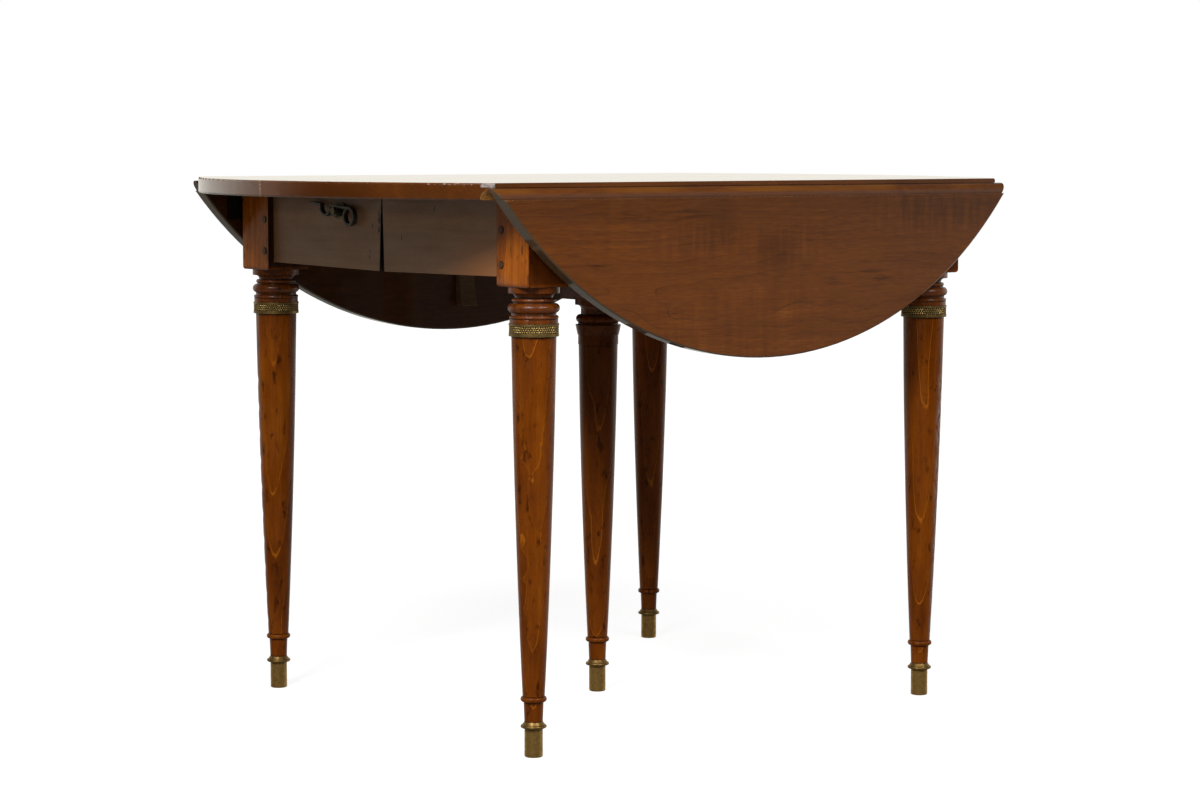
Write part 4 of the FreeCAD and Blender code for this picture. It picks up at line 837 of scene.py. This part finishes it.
def floor_finish():
    """Matt grey to the light, and white to the camera apart from the table's shadow."""
    material = bpy.data.materials.new("pale_floor")
    material.use_nodes = True
    tree = material.node_tree
    tree.nodes.clear()
    matt = add_node(tree, "ShaderNodeBsdfDiffuse", {"Color": FLOOR_GREY}).outputs[0]
    place = add_node(tree, "ShaderNodeTexCoord").outputs["Object"]
    away = add_node(tree, "ShaderNodeVectorMath", {0: place}, operation="LENGTH").outputs["Value"]
    strength = eased(tree, away, GLOW_NEAR, GLOW_FAR, GLOW_DIM, 1.0)
    glow = add_node(tree, "ShaderNodeEmission", {"Strength": strength}).outputs[0]
    bright = add_node(tree, "ShaderNodeAddShader", {0: matt, 1: glow}).outputs[0]
    seen = {0: light_split(tree, ("Is Camera Ray",)), 1: matt, 2: bright}
    surface = add_node(tree, "ShaderNodeMixShader", seen).outputs[0]
    add_node(tree, "ShaderNodeOutputMaterial", {"Surface": surface})
    return material


def make_floor():
    """A wide round floor, just under the feet."""
    work = bmesh.new()
    bmesh.ops.create_circle(work, cap_ends=True, segments=96, radius=FLOOR_RADIUS)
    mesh = bpy.data.meshes.new("floor")
    work.to_mesh(mesh)
    work.free()
    mesh.transform(Matrix.Translation((0, 0, -FLOOR_DROP)))
    mesh.materials.append(floor_finish())
    floor = show("floor", mesh)
    floor.visible_glossy = False


def make_world():
    """White to the camera, a grey fill, and in reflections a room that is bright on one side only."""
    world = bpy.data.worlds.new("studio")
    bpy.context.scene.world = world
    world.use_nodes = True
    tree = world.node_tree
    tree.nodes.clear()
    way = add_node(tree, "ShaderNodeTexCoord").outputs["Generated"]
    facing = add_node(tree, "ShaderNodeVectorMath", {0: way, 1: BRIGHT_SIDE}, operation="DOT_PRODUCT")
    side = eased(tree, facing.outputs["Value"], *SIDE_FADE, DARK_SIDE_LEVEL, 1.0)
    rise = add_node(tree, "ShaderNodeSeparateXYZ", {0: way}).outputs[2]
    above = eased(tree, rise, *CEILING_FADE)
    below = eased(tree, rise, *GROUND_FADE)
    level = add_node(tree, "ShaderNodeMix", {0: above, 2: side, 3: CEILING_LEVEL}).outputs[0]
    level = add_node(tree, "ShaderNodeMix", {0: below, 2: level, 3: GROUND_LEVEL}).outputs[0]
    fill = add_node(tree, "ShaderNodeBackground", {"Color": FILL_GREY}).outputs[0]
    room = add_node(tree, "ShaderNodeBackground", {"Color": ROOM_CREAM, "Strength": level}).outputs[0]
    white = add_node(tree, "ShaderNodeBackground", {"Color": ROOM_WHITE}).outputs[0]
    mirrored = light_split(tree, ("Is Glossy Ray", "Is Transmission Ray"))
    lit = add_node(tree, "ShaderNodeMixShader", {0: mirrored, 1: fill, 2: room}).outputs[0]
    seen = {0: light_split(tree, ("Is Camera Ray",)), 1: lit, 2: white}
    surface = add_node(tree, "ShaderNodeMixShader", seen).outputs[0]
    add_node(tree, "ShaderNodeOutputWorld", {"Surface": surface})


def make_lamp(name, place, power):
    """A square soft lamp that faces the table."""
    light = bpy.data.lights.new(name, "AREA")
    light.shape = "RECTANGLE"
    light.size = light.size_y = LAMP_SIZE
    light.energy = power
    lamp = show(name, light)
    lamp.location = place
    lamp.rotation_euler = (Vector(LAMP_TARGET) - Vector(place)).to_track_quat("-Z", "Y").to_euler()


def make_camera():
    """The photograph's camera, turned about its place."""
    yaw, pitch, roll = (math.radians(angle) for angle in (CAMERA_YAW, CAMERA_PITCH, CAMERA_ROLL))
    look = Vector((math.sin(yaw) * math.cos(pitch), math.cos(yaw) * math.cos(pitch), -math.sin(pitch)))
    level = Vector((math.cos(yaw), -math.sin(yaw), 0))
    rise = level.cross(look)
    right = level * math.cos(roll) + rise * math.sin(roll)
    up = rise * math.cos(roll) - level * math.sin(roll)
    lens = bpy.data.cameras.new("camera")
    lens.sensor_fit = "HORIZONTAL"
    lens.sensor_width = CAMERA_SENSOR
    lens.lens = CAMERA_LENS
    lens.clip_end = CAMERA_REACH
    camera = show("camera", lens)
    turn = Matrix((right, up, -look)).transposed().to_4x4()
    camera.matrix_world = Matrix.Translation(CAMERA_STAND) @ turn
    bpy.context.scene.camera = camera


make_floor()
make_world()
for name, (place, power) in LAMPS.items():
    make_lamp(name, place, power)
make_camera()
bpy.context.scene.view_settings.view_transform = "Standard"
